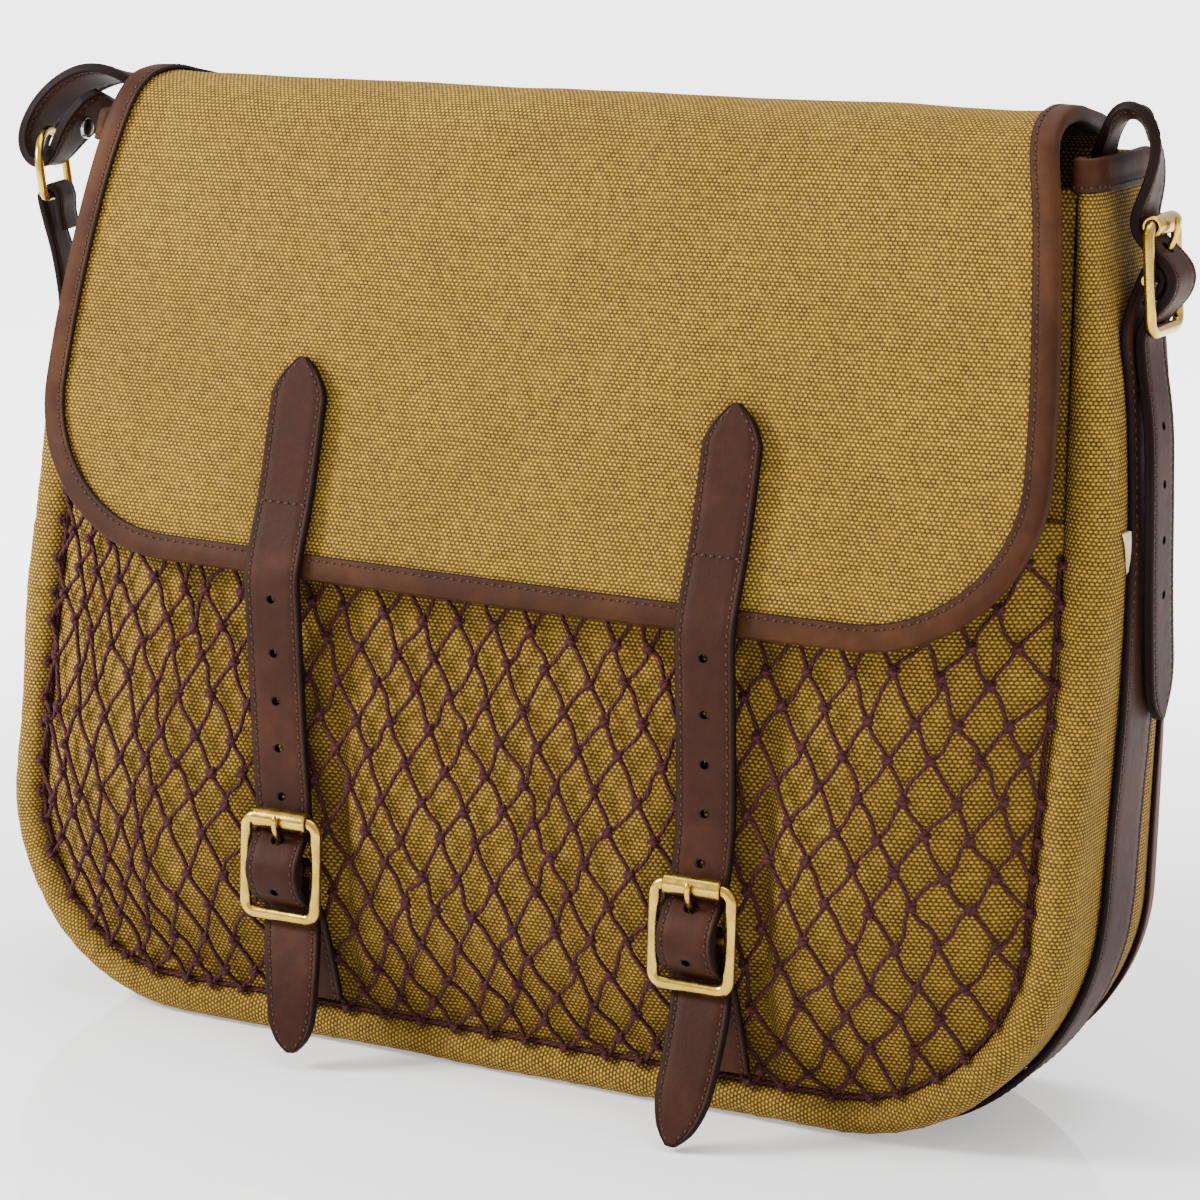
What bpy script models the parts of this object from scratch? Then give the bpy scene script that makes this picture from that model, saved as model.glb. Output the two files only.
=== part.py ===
"""Canvas and leather game bag with a netted front pocket, as separate closed solids.

The front faces -Y, +X is the viewer's right, +Z is up, and the origin is the centre of
the flat base. Sizes and tables are in millimetres, and every mesh is written in metres.
"""
import math
from collections import namedtuple

import bmesh
import bpy
from mathutils import Matrix, Vector

MM = 0.001
GAP = 0.3

# Body
BASE_DROP = 14.0
SEAM_BOTTOM = 14.0
SEAM_RADIUS = 66.0
SIDE_RADIUS = 80.0
BACK_RADIUS = 76.0
BACK_BOTTOM = 3.2
BACK_Y = 45.5
BACK_TURN = 14.0
BODY_TOP = 331.0
TILT = 0.024
TILT_FROM = 200.0
TILT_FULL = 130.0
CANVAS = 2.0
THIN_CANVAS = 1.5
LINING_TOP = 322.0
POCKET_TOP = 196.0

# Leather
BINDING = 1.2
BINDING_GAP = 0.6
BINDING_REACH = 7.5
BIND_FORWARD = 6.0
TOP_BINDING_REACH = 10.0
STRAP_WIDTH = 22.0
STRAP_THICK = 3.0
SHOULDER_THICK = 3.6
SIDE_STRIP_THICK = 2.5
CHAPE_WIDTH = 24.0
CHAPE_THICK = 2.0
HOLE_RADIUS = 1.5
TONGUE_HOLE_RADIUS = 2.5

# Brass
FRAME_WIRE = 2.2
FRAME_HALF = 14.3
FRAME_REACH = 17.6
ROLLER_RADIUS = 3.6
ROLLER_HALF = 10.6
RING_WIRE = 1.6
RING_HALF = 14.2

# Net
CELL_WIDTH = 29.0
CELL_HEIGHT = 48.0
STRAND = 2.2
NET_THICK = 1.6
NET_GAP = 1.6
NET_PINCH = 0.65

Outline = namedtuple("Outline", "height seam side back")
OUTLINE = (
    Outline(0, 196.6, 210.6, 208.0),
    Outline(100, 196.6, 211.0, 208.5),
    Outline(160, 196.6, 213.0, 208.0),
    Outline(200, 195.0, 212.5, 207.0),
    Outline(245, 192.2, 208.5, 204.0),
    Outline(285, 189.8, 202.0, 199.0),
    Outline(331, 187.0, 194.0, 193.0),
)

Depth = namedtuple("Depth", "height seam_y bulge pinch")
DEPTH = (
    Depth(0, -50.0, 0.0, 0.65),
    Depth(14, -48.5, 0.0, 0.65),
    Depth(25, -47.0, 7.0, 0.65),
    Depth(40, -45.0, 15.0, 0.65),
    Depth(60, -43.0, 20.0, 0.6),
    Depth(85, -40.5, 23.3, 0.4),
    Depth(111, -36.8, 24.5, 0.22),
    Depth(130, -34.0, 25.0, 0.16),
    Depth(170, -27.4, 24.5, 0.12),
    Depth(200, -22.5, 21.5, 0.1),
    Depth(270, -14.5, 0.0, 0.0),
    Depth(331, -6.0, 0.0, 0.0),
)
PINCHES = (-78.0, 88.0)
PINCH_WIDTH = 17.0
SIDE_PUFF = 70.0
BOTTOM_PUFF = 46.0

# The rolled rim: each row's place behind the seam and outward from it, as shares of BASE_DROP
Rim = namedtuple("Rim", "behind out behind_in out_in")
RIM = (
    Rim(-1.0, 0.0, 1.0, 0.0),
    Rim(-4.6, 3.5, -2.0, 4.2),
    Rim(-5.0, 8.0, -2.7, 8.0),
    Rim(-2.6, 12.0, -1.0, 10.5),
    Rim(3.0, 14.0, 3.6, 12.0),
    Rim(14.0, 14.0, 14.0, 12.0),
)

# The flap's outer face down its middle, from the back seam over the fold to the front edge
FlapRow = namedtuple("FlapRow", "y z half crown")
FLAP = (
    FlapRow(49.9, 298.0, 172.0, 0.0),
    FlapRow(49.9, 316.0, 174.0, 0.0),
    FlapRow(49.9, 332.5, 176.0, 0.0),
    FlapRow(47.2, 338.0, 177.5, 0.0),
    FlapRow(39.0, 341.3, 178.5, 0.0),
    FlapRow(24.0, 344.3, 179.0, 0.0),
    FlapRow(8.0, 346.8, 179.5, 0.0),
    FlapRow(-4.0, 345.6, 180.0, 0.5),
    FlapRow(-12.5, 341.5, 180.5, 2.0),
    FlapRow(-18.0, 334.0, 182.0, 3.5),
    FlapRow(-23.5, 315.0, 186.0, 5.5),
    FlapRow(-31.8, 280.0, 190.7, 6.6),
    FlapRow(-38.0, 250.0, 193.5, 6.6),
    FlapRow(-44.4, 220.0, 194.8, 6.6),
    FlapRow(-50.0, 200.0, 195.0, 6.6),
    FlapRow(-57.0, 175.0, 195.0, 6.6),
)
FLAP_CORNER = 60.0
FLAP_BOUND_FROM = 3

# Front straps, from the stitched tip on the flap down through the buckle to the tail
StrapRow = namedtuple("StrapRow", "x y z width")
LEFT_STRAP = (
    StrapRow(-84.5, -45.9, 250.0, 2.0),
    StrapRow(-84.5, -47.1, 245.0, 13.0),
    StrapRow(-84.5, -48.8, 238.0, 21.0),
    StrapRow(-84.5, -50.2, 232.0, 22.0),
    StrapRow(-84.5, -57.1, 203.0, 22.0),
    StrapRow(-84.5, -63.7, 184.0, 22.0),
    StrapRow(-84.2, -67.0, 173.0, 22.0),
    StrapRow(-83.4, -67.0, 160.0, 22.0),
    StrapRow(-81.6, -66.2, 128.0, 22.0),
    StrapRow(-79.6, -67.0, 108.0, 22.0),
    StrapRow(-77.2, -69.0, 96.0, 22.0),
    StrapRow(-75.8, -70.1, 89.5, 21.4),
    StrapRow(-74.9, -71.1, 84.6, 21.0),
    StrapRow(-74.3, -78.2, 78.4, 21.0),
    StrapRow(-73.8, -82.2, 70.8, 21.0),
    StrapRow(-73.3, -79.2, 62.4, 21.0),
    StrapRow(-72.8, -72.6, 57.4, 21.0),
    StrapRow(-71.8, -70.9, 53.2, 21.4),
    StrapRow(-69.4, -74.4, 44.0, 22.0),
    StrapRow(-66.2, -79.6, 30.0, 20.5),
    StrapRow(-64.6, -82.4, 17.0, 18.0),
    StrapRow(-63.9, -83.6, 10.0, 12.0),
    StrapRow(-63.5, -84.2, 6.0, 3.0),
)
RIGHT_STRAP = (
    StrapRow(84.5, -45.9, 250.0, 2.0),
    StrapRow(84.5, -47.1, 245.0, 13.0),
    StrapRow(84.5, -48.8, 238.0, 21.0),
    StrapRow(84.5, -50.2, 232.0, 22.0),
    StrapRow(84.5, -57.1, 203.0, 22.0),
    StrapRow(84.5, -63.7, 184.0, 22.0),
    StrapRow(84.8, -67.0, 173.0, 22.0),
    StrapRow(85.4, -67.0, 160.0, 22.0),
    StrapRow(86.6, -66.2, 128.0, 22.0),
    StrapRow(87.6, -67.0, 108.0, 22.0),
    StrapRow(87.8, -69.0, 96.0, 22.0),
    StrapRow(87.9, -70.1, 89.5, 21.4),
    StrapRow(87.9, -71.1, 84.6, 21.0),
    StrapRow(87.9, -78.2, 78.4, 21.0),
    StrapRow(88.0, -82.2, 70.8, 21.0),
    StrapRow(88.4, -79.2, 62.4, 21.0),
    StrapRow(88.9, -72.6, 57.4, 21.0),
    StrapRow(89.8, -70.9, 53.2, 21.4),
    StrapRow(91.6, -75.4, 44.0, 22.0),
    StrapRow(92.6, -82.6, 31.0, 21.5),
    StrapRow(92.2, -88.6, 17.0, 20.0),
    StrapRow(91.2, -92.0, 7.0, 13.0),
    StrapRow(90.6, -93.6, 1.8, 3.0),
)
STRAP_HOLES = (166.0, 146.5, 129.0, 112.0, 95.0, 63.5)
TONGUE_HOLE = 80.2
BUCKLE_Z = 70.8
BUCKLE_Y = -76.0
BUCKLE_X = (-73.8, 87.9)

# Shoulder strap: turn swings its width about Z, lean drops the far edge, both in degrees
ShoulderRow = namedtuple("ShoulderRow", "x y z turn lean width")
SHOULDER = (
    ShoulderRow(-204.0, 10.0, 330.5, 6.0, 14.0, 14.0),
    ShoulderRow(-206.0, 9.2, 328.0, 6.0, 14.0, 22.0),
    ShoulderRow(-212.5, 6.0, 321.0, 2.0, 10.0, 22.0),
    ShoulderRow(-217.2, 3.5, 313.5, -6.0, 6.0, 21.0),
    ShoulderRow(-220.4, 2.4, 307.2, -12.0, 3.0, 20.0),
    ShoulderRow(-226.0, 2.0, 304.2, -14.0, 2.0, 20.0),
    ShoulderRow(-231.2, 2.2, 307.6, -12.0, 3.0, 20.0),
    ShoulderRow(-232.8, 3.6, 314.0, -6.0, 6.0, 21.0),
    ShoulderRow(-228.4, 6.6, 323.5, 2.0, 12.0, 22.0),
    ShoulderRow(-220.8, 10.0, 332.0, 6.0, 16.0, 22.0),
    ShoulderRow(-211.0, 13.0, 337.6, 7.0, 16.0, 22.0),
    ShoulderRow(-201.0, 15.4, 338.4, 6.0, 12.0, 22.0),
    ShoulderRow(-192.6, 17.6, 335.2, 4.0, 8.0, 22.0),
    ShoulderRow(-187.0, 19.6, 327.8, 2.0, 4.0, 22.0),
    ShoulderRow(-184.2, 22.4, 315.0, 0.0, 0.0, 22.0),
    ShoulderRow(-180.0, 27.0, 280.0, 0.0, 0.0, 22.0),
    ShoulderRow(-174.0, 29.5, 220.0, 0.0, 0.0, 22.0),
    ShoulderRow(-158.0, 30.0, 150.0, 0.0, 0.0, 22.0),
    ShoulderRow(-126.0, 30.0, 82.0, 0.0, 0.0, 22.0),
    ShoulderRow(-76.0, 30.0, 32.0, 0.0, 0.0, 22.0),
    ShoulderRow(0.0, 30.0, 10.0, 0.0, 0.0, 22.0),
    ShoulderRow(76.0, 30.0, 32.0, 0.0, 0.0, 22.0),
    ShoulderRow(126.0, 30.0, 82.0, 0.0, 0.0, 22.0),
    ShoulderRow(158.0, 30.0, 150.0, 0.0, 0.0, 22.0),
    ShoulderRow(174.0, 29.5, 220.0, 0.0, 0.0, 22.0),
    ShoulderRow(180.5, 26.5, 280.0, 0.0, 0.0, 22.0),
    ShoulderRow(184.2, 22.4, 315.0, -2.0, 0.0, 22.0),
    ShoulderRow(185.8, 20.4, 333.0, -4.0, 2.0, 22.0),
    ShoulderRow(188.2, 18.4, 342.2, -9.0, 5.0, 22.0),
    ShoulderRow(193.2, 15.8, 349.2, -17.0, 8.0, 22.0),
    ShoulderRow(199.4, 13.6, 351.4, -23.0, 9.0, 22.0),
    ShoulderRow(205.2, 12.2, 347.2, -23.0, 8.0, 22.0),
    ShoulderRow(207.8, 11.8, 338.2, -15.0, 5.0, 22.0),
    ShoulderRow(206.8, 12.3, 327.6, -6.0, 2.0, 22.0),
    ShoulderRow(204.7, 13.0, 320.0, 0.0, 0.0, 22.0),
    ShoulderRow(204.3, 13.0, 313.2, 0.0, 0.0, 22.0),
    ShoulderRow(208.8, 13.0, 308.3, 0.0, 0.0, 22.0),
    ShoulderRow(214.6, 13.0, 303.9, 0.0, 0.0, 22.0),
    ShoulderRow(218.8, 13.0, 299.4, 0.0, 0.0, 22.0),
    ShoulderRow(218.8, 13.0, 295.4, 0.0, 0.0, 22.0),
    ShoulderRow(216.6, 13.0, 290.2, 0.0, 0.0, 22.0),
    ShoulderRow(212.2, 13.0, 285.8, 0.0, 0.0, 22.0),
    ShoulderRow(209.6, 12.6, 282.6, 0.0, 0.0, 22.0),
    ShoulderRow(208.8, 12.0, 278.6, 0.0, 0.0, 22.0),
    ShoulderRow(210.4, 10.4, 269.0, 0.0, 0.0, 22.0),
    ShoulderRow(215.4, 6.6, 249.0, 0.0, 0.0, 22.0),
    ShoulderRow(218.2, 3.4, 225.0, 0.0, 0.0, 22.0),
    ShoulderRow(219.0, 6.2, 190.0, 0.0, 0.0, 22.0),
    ShoulderRow(218.8, 12.4, 162.0, 0.0, 0.0, 22.0),
    ShoulderRow(218.6, 14.4, 153.0, 0.0, 0.0, 16.0),
    ShoulderRow(218.4, 16.2, 146.0, 0.0, 0.0, 3.0),
)
SHOULDER_HOLES = (248.0, 229.0, 210.0, 191.0)
SHOULDER_TONGUE_HOLE = 306.0
SHOULDER_BUCKLE = (212.0, 13.0, 297.5)
SHOULDER_BUCKLE_LEAN = 5.0

# Side strips: the folded top end, given from its free end to where the strip meets the side
StripRow = namedtuple("StripRow", "x y z width")
RIGHT_FOLD = (
    StripRow(208.9, 13.0, 288.6, 20.0),
    StripRow(211.8, 13.0, 291.4, 20.0),
    StripRow(214.0, 13.0, 294.8, 20.0),
    StripRow(214.7, 13.0, 297.6, 20.0),
    StripRow(213.6, 13.0, 300.1, 20.0),
    StripRow(211.0, 13.0, 301.2, 20.0),
    StripRow(208.4, 13.0, 300.1, 20.0),
    StripRow(207.2, 13.0, 297.2, 20.0),
    StripRow(205.9, 12.5, 291.0, 22.0),
)
LEFT_FOLD = (
    StripRow(216.0, 2.0, 280.5, 18.0),
    StripRow(217.4, 2.0, 287.0, 18.0),
    StripRow(217.6, 2.0, 292.6, 18.0),
    StripRow(218.6, 2.0, 295.6, 18.0),
    StripRow(221.0, 2.0, 296.8, 18.0),
    StripRow(223.4, 2.0, 295.6, 18.0),
    StripRow(224.6, 2.0, 293.0, 18.0),
    StripRow(222.4, 2.0, 284.0, 18.0),
    StripRow(218.2, 2.0, 270.0, 20.0),
    StripRow(214.8, 2.0, 252.0, 24.0),
)
FOLD_FROM = 221.0
SIDE_STRIP_WIDTH = 30.0
RIGHT_STRIP_Y = 10.0
LEFT_STRIP_Y = 2.0
STRIP_SEWN_FROM = (276.0, 238.0)
STRIP_END_ANGLE = 68.0

RING_BAR = (-221.0, 2.0, 293.2)
RING_HEIGHT = 10.0
RING_TURN = -14.0
RING_LEAN = 9.0

STUD_HEIGHT = 324.0
STUD_GAP = 1.0
STUD_RADIUS = 4.2
LABEL_FRONT_Y = -6.0
LABEL_TOP = 214.0
LABEL_WIDTH = 10.0
LABEL_DROP = 20.0

Finish = namedtuple("Finish", "name colour roughness metallic")
DUCK = Finish("tan_duck", (0.42, 0.29, 0.11), 0.9, 0.0)
HIDE = Finish("brown_hide", (0.075, 0.035, 0.024), 0.55, 0.0)
EDGE_HIDE = Finish("edge_hide", (0.13, 0.05, 0.027), 0.55, 0.0)
TWINE = Finish("twine", (0.06, 0.012, 0.018), 0.85, 0.0)
BRASS = Finish("brass", (0.85, 0.62, 0.28), 0.28, 1.0)
DARK_METAL = Finish("dark_metal", (0.05, 0.05, 0.05), 0.35, 1.0)
TAPE = Finish("cream_tape", (0.75, 0.68, 0.52), 0.9, 0.0)


def at(table, key, column, where):
    """A column's value at a height or length, straight between the table's rows."""
    rows = sorted(table, key=lambda row: getattr(row, key))
    if where <= getattr(rows[0], key):
        return getattr(rows[0], column)
    for low, high in zip(rows, rows[1:]):
        a, b = getattr(low, key), getattr(high, key)
        if where <= b:
            share = (where - a) / (b - a)
            return getattr(low, column) * (1 - share) + getattr(high, column) * share
    return getattr(rows[-1], column)


def half_width(column, z):
    return at(OUTLINE, "height", column, z)


def seam_y(z):
    return at(DEPTH, "height", "seam_y", z)


def slanted(x, z):
    """Height after the slant of the bag's top, which stands higher at its right."""
    return z + TILT * x * min(max((z - TILT_FROM) / TILT_FULL, 0.0), 1.0)


def finish_material(finish):
    material = bpy.data.materials.get(finish.name) or bpy.data.materials.new(finish.name)
    material.use_nodes = True
    shader = material.node_tree.nodes["Principled BSDF"]
    shader.inputs["Base Color"].default_value = (*finish.colour, 1.0)
    shader.inputs["Roughness"].default_value = finish.roughness
    shader.inputs["Metallic"].default_value = finish.metallic
    return material


def add_object(name, bm, finish, smooth=True):
    mesh = bpy.data.meshes.new(name)
    bm.to_mesh(mesh)
    bm.free()
    if smooth:
        mesh.shade_smooth()
        mesh.set_sharp_from_angle(angle=math.radians(40))
    mesh.materials.append(finish_material(finish))
    obj = bpy.data.objects.new(name, mesh)
    bpy.context.scene.collection.objects.link(obj)
    return obj


def thicken(obj, thickness, offset):
    wall = obj.modifiers.new("wall", "SOLIDIFY")
    wall.thickness = thickness * MM
    wall.offset = offset
    wall.use_even_offset = True


def loft(name, rings, finish, closed=False):
    """A closed solid through rings of points; an open run gets a cap at each end."""
    bm = bmesh.new()
    loops = [[bm.verts.new(Vector(point) * MM) for point in ring] for ring in rings]
    pairs = list(zip(loops, loops[1:]))
    if closed:
        pairs.append((loops[-1], loops[0]))
    else:
        bm.faces.new(loops[0])
        bm.faces.new(loops[-1])
    for first, second in pairs:
        for i, vert in enumerate(first):
            j = (i + 1) % len(first)
            bm.faces.new((vert, first[j], second[j], second[i]))
    bmesh.ops.recalc_face_normals(bm, faces=bm.faces)
    return add_object(name, bm, finish)


def smooth_path(points, step):
    """Points at about one step apart on a Catmull-Rom curve through the given points."""
    ends = [points[0] * 2 - points[1]] + list(points) + [points[-1] * 2 - points[-2]]
    path = []
    for a, b, c, d in zip(ends, ends[1:], ends[2:], ends[3:]):
        count = max(1, round((c.xyz - b.xyz).length / step))
        for i in range(count):
            t = i / count
            path.append(0.5 * ((2 * b) + (c - a) * t + (2 * a - 5 * b + 4 * c - d) * t * t
                               + (3 * b - a - 3 * c + d) * t ** 3))
    path.append(points[-1].copy())
    return path


def tangents(points, closed=False):
    count = len(points)
    result = []
    for i in range(count):
        before = points[i - 1] if i or closed else points[0]
        after = points[(i + 1) % count] if i + 1 < count or closed else points[-1]
        result.append((after - before).normalized())
    return result


def band_rings(points, across, widths, thickness):
    """Four-cornered sections of a flat strap, its width along the given directions."""
    rings = []
    for point, tangent, side, width in zip(points, tangents(points), across, widths):
        normal = tangent.cross(side).normalized()
        side = normal.cross(tangent).normalized()
        w = side * width / 2
        n = normal * thickness / 2
        rings.append([point - w - n, point + w - n, point + w + n, point - w + n])
    return rings


def tube_rings(points, radius, sides, closed=False):
    """Round sections along a path that lies in one plane."""
    rings = []
    plane = (points[1] - points[0]).cross(points[len(points) // 2] - points[0]).normalized()
    for point, tangent in zip(points, tangents(points, closed)):
        side = tangent.cross(plane).normalized()
        rings.append([point + side * radius * math.cos(2 * math.pi * i / sides)
                      + plane * radius * math.sin(2 * math.pi * i / sides) for i in range(sides)])
    return rings


def rod(name, start, end, radius, sides, finish, bore=0.0):
    """A round bar between two points, drilled through where it has a bore."""
    start, end = Vector(start), Vector(end)
    axis = (end - start).normalized()
    side = axis.orthogonal().normalized()
    other = axis.cross(side)

    def ring(centre, r):
        return [centre + (side * math.cos(2 * math.pi * i / sides)
                          + other * math.sin(2 * math.pi * i / sides)) * r for i in range(sides)]
    if bore:
        return loft(name, [ring(start, radius), ring(end, radius), ring(end, bore),
                           ring(start, bore)], finish, closed=True)
    return loft(name, [ring(start, radius), ring(end, radius)], finish)


def u_outline(column, radius, bottom, top, inset=0.0, arc=6, base=4):
    """Points (x, z) of a U from its top left, round the bottom, to its top right."""
    bottom += inset
    radius -= inset
    knee = bottom + radius
    heights = [top] + [row.height for row in reversed(OUTLINE) if knee + 5.0 < row.height < top - 1.0]
    left = [(-half_width(column, z) + inset, z) for z in heights]
    centre_x = half_width(column, knee) - inset - radius
    for i in range(arc + 1):
        angle = math.radians(90) * i / arc
        left.append((-centre_x - radius * math.cos(angle), knee - radius * math.sin(angle)))
    flat = [(-centre_x + 2 * centre_x * i / base, bottom) for i in range(1, base)]
    return left + flat + [(-x, z) for x, z in reversed(left)]


def clipped_grid(columns, rows, outline):
    """A flat grid in X and Z, cut to a convex outline."""
    bm = bmesh.new()
    bmesh.ops.create_grid(bm, x_segments=len(columns) - 1, y_segments=len(rows) - 1, size=1.0)
    for index, vert in enumerate(bm.verts):
        vert.co = (columns[index % len(columns)], 0.0, rows[index // len(columns)])
    cut_to_outline(bm, outline)
    return bm


def cut_to_outline(bm, outline):
    for (x0, z0), (x1, z1) in zip(outline, outline[1:]):
        outward = Vector((z1 - z0, 0.0, x0 - x1))
        if outward.length < 1e-6:
            continue
        geometry = bm.verts[:] + bm.edges[:] + bm.faces[:]
        bmesh.ops.bisect_plane(bm, geom=geometry, dist=1e-4, plane_co=(x0, 0.0, z0),
                               plane_no=outward, clear_outer=True)
    bmesh.ops.remove_doubles(bm, verts=bm.verts, dist=0.6)


def wrap(bm, place):
    """Moves each vertex of a flat sheet to its place on the bag, in metres."""
    for vert in bm.verts:
        vert.co = place(vert.co.x, vert.co.z) * MM
    bmesh.ops.recalc_face_normals(bm, faces=bm.faces)


def face_outwards(bm, towards):
    bm.normal_update()
    if sum(face.normal.dot(towards) * face.calc_area() for face in bm.faces) < 0:
        bmesh.ops.reverse_faces(bm, faces=bm.faces)


def puff(share):
    """How far a stuffed panel has risen at a share of the way in from its seam."""
    return math.sin(min(max(share, 0.0), 1.0) * math.pi / 2) ** 0.85


def seam_inset(x, z):
    """Distances in from the side seam and up from the bottom seam."""
    knee = SEAM_BOTTOM + SEAM_RADIUS
    half = half_width("seam", max(z, knee))
    centre_x = half - SEAM_RADIUS
    if z < knee:
        drop = min((knee - z) / SEAM_RADIUS, 1.0)
        half = centre_x + SEAM_RADIUS * math.sqrt(1 - drop * drop)
    out = min(max((abs(x) - centre_x) / SEAM_RADIUS, 0.0), 1.0)
    bottom = SEAM_BOTTOM + SEAM_RADIUS * (1 - math.sqrt(1 - out * out))
    return half - abs(x), z - bottom


def pocket_face(x, z, pinched=1.0):
    """The outer face of the stuffed pocket, drawn in behind each strap."""
    from_side, from_bottom = seam_inset(x, z)
    bulge = at(DEPTH, "height", "bulge", z) * puff(from_side / SIDE_PUFF)
    bulge *= puff(from_bottom / BOTTOM_PUFF)
    near = max(math.exp(-((x - pinch) / PINCH_WIDTH) ** 2) for pinch in PINCHES)
    bulge *= 1 - near * pinched * at(DEPTH, "height", "pinch", z)
    return Vector((x, seam_y(z) - 1.0 - bulge, z))


def pocket_normal(x, z):
    step = 2.0
    along = pocket_face(x + step, z) - pocket_face(x - step, z)
    up = pocket_face(x, z + step) - pocket_face(x, z - step)
    return along.cross(up).normalized()


def build_gusset():
    """The canvas band round the sides and base, with the rolled rim at its front edge."""
    seam = u_outline("seam", SEAM_RADIUS, SEAM_BOTTOM, BODY_TOP)
    side = u_outline("side", SIDE_RADIUS, 0.0, BODY_TOP)
    back = u_outline("back", BACK_RADIUS, BACK_BOTTOM, BODY_TOP)
    side_in = u_outline("side", SIDE_RADIUS, 0.0, BODY_TOP, inset=CANVAS)
    back_in = u_outline("back", BACK_RADIUS, BACK_BOTTOM, BODY_TOP, inset=CANVAS)
    rings = []
    for f, s, b, s_in, b_in in zip(seam, side, back, side_in, back_in):
        y = seam_y(f[1])

        def between(out):
            share = out / BASE_DROP
            return f[0] + (s[0] - f[0]) * share, f[1] + (s[1] - f[1]) * share
        outer = []
        inner = []
        for row in RIM:
            x, z = between(row.out)
            outer.append((x, y + row.behind, z))
            x, z = between(row.out_in)
            inner.append((x, y + row.behind_in, z))
        outer.append((s[0], BACK_Y - BACK_TURN, s[1]))
        inner.append((s_in[0], BACK_Y - BACK_TURN, s_in[1]))
        outer.append((b[0], BACK_Y, b[1]))
        inner.append((b_in[0], BACK_Y, b_in[1]))
        rings.append([(x, y, slanted(x, z)) for x, y, z in outer + inner[::-1]])
    loft("gusset", rings, DUCK)


def build_body_panels():
    """The main compartment's front, and the back panel with its bound edge."""
    lining = u_outline("seam", SEAM_RADIUS, SEAM_BOTTOM, LINING_TOP, inset=0.6)
    columns = [-200 + 400 * i / 8 for i in range(9)]
    rows = [SEAM_BOTTOM, 40, 80, 130, 200, 270, LINING_TOP]
    bm = clipped_grid(columns, rows, lining)
    wrap(bm, lambda x, z: Vector((x, seam_y(z) + 0.7, slanted(x, z))))
    face_outwards(bm, Vector((0, -1, 0)))
    thicken(add_object("front_panel", bm, DUCK), THIN_CANVAS, -1)

    edge = u_outline("back", BACK_RADIUS, BACK_BOTTOM, BODY_TOP)
    bm = clipped_grid([-212, -106, 0, 106, 212], [0, 80, 160, 240, BODY_TOP], edge)
    wrap(bm, lambda x, z: Vector((x, BACK_Y + GAP, slanted(x, z))))
    face_outwards(bm, Vector((0, -1, 0)))
    thicken(add_object("back_panel", bm, DUCK), CANVAS - GAP, -1)

    outer_y = BACK_Y + CANVAS + GAP
    bound_top = BODY_TOP - TOP_BINDING_REACH - GAP
    rings = []
    sheets = [u_outline(column, radius, bottom, bound_top, inset=inset)
              for column, radius, bottom, inset in (
                  ("back", BACK_RADIUS, BACK_BOTTOM, -BINDING_GAP),
                  ("back", BACK_RADIUS, BACK_BOTTOM, -BINDING_GAP - BINDING),
                  ("back", BACK_RADIUS, BACK_BOTTOM, BINDING_REACH),
                  ("side", SIDE_RADIUS, 0.0, -BINDING_GAP),
                  ("side", SIDE_RADIUS, 0.0, -BINDING_GAP - BINDING))]
    share = BIND_FORWARD / BACK_TURN
    for c, f, i, c_side, f_side in zip(*sheets):
        close = [a * (1 - share) + b * share for a, b in zip(c, c_side)]
        far = [a * (1 - share) + b * share for a, b in zip(f, f_side)]
        front_y = BACK_Y - BIND_FORWARD
        ring = [(close[0], front_y, close[1]), (c[0], BACK_Y, c[1]), (c[0], outer_y, c[1]),
                (i[0], outer_y, i[1]), (i[0], outer_y + BINDING, i[1]),
                (c[0], outer_y + BINDING, c[1]), (f[0], outer_y, f[1]), (f[0], BACK_Y, f[1]),
                (far[0], front_y, far[1])]
        rings.append([(x, y, slanted(x, z)) for x, y, z in ring])
    loft("back_binding", rings, EDGE_HIDE)


def channel_rings(points, outs, normals, reach, gap):
    """Sections of leather folded over a sheet's edge; normals point to the sheet's outer face."""
    rings = []
    for point, out, normal in zip(points, outs, normals):
        def place(o, n):
            return point + out * o + normal * n
        under = -CANVAS - gap
        rings.append([place(-reach, gap), place(gap, gap), place(gap, under), place(-reach, under),
                      place(-reach, under - BINDING), place(gap + BINDING * 0.5, under - BINDING),
                      place(gap + BINDING, -CANVAS / 2),
                      place(gap + BINDING * 0.5, gap + BINDING), place(-reach, gap + BINDING)])
    return rings


def build_gusset_bindings():
    """Leather folded over the top edge of each side."""
    front_y = seam_y(BODY_TOP)
    places = (("side", front_y + RIM[4].behind + 0.4), ("side", front_y + RIM[5].behind),
              ("side", BACK_Y - BACK_TURN), ("back", BACK_Y - 0.5))
    for name, sign in (("gusset_binding_left", -1), ("gusset_binding_right", 1)):
        points = [Vector((sign * half_width(column, BODY_TOP), y, BODY_TOP)) for column, y in places]
        outs = [Vector((0, 0, 1))] * len(points)
        normals = [Vector((sign, 0, 0))] * len(points)
        rings = channel_rings(points, outs, normals, TOP_BINDING_REACH, BINDING_GAP)
        for ring, (column, y) in zip(rings, places):
            for point in ring:
                lower = min(point.z, BODY_TOP)
                point.x += sign * (half_width(column, lower) - half_width(column, BODY_TOP))
                point.z = slanted(point.x, point.z)
        loft(name, rings, EDGE_HIDE)


def flap_lengths():
    lengths = [0.0]
    for a, b in zip(FLAP, FLAP[1:]):
        lengths.append(lengths[-1] + math.hypot(b.y - a.y, b.z - a.z))
    return lengths


FLAP_LENGTHS = flap_lengths()
FLAP_LONG = FLAP_LENGTHS[-1]
FLAP_HALF = max(row.half for row in FLAP)


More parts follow.
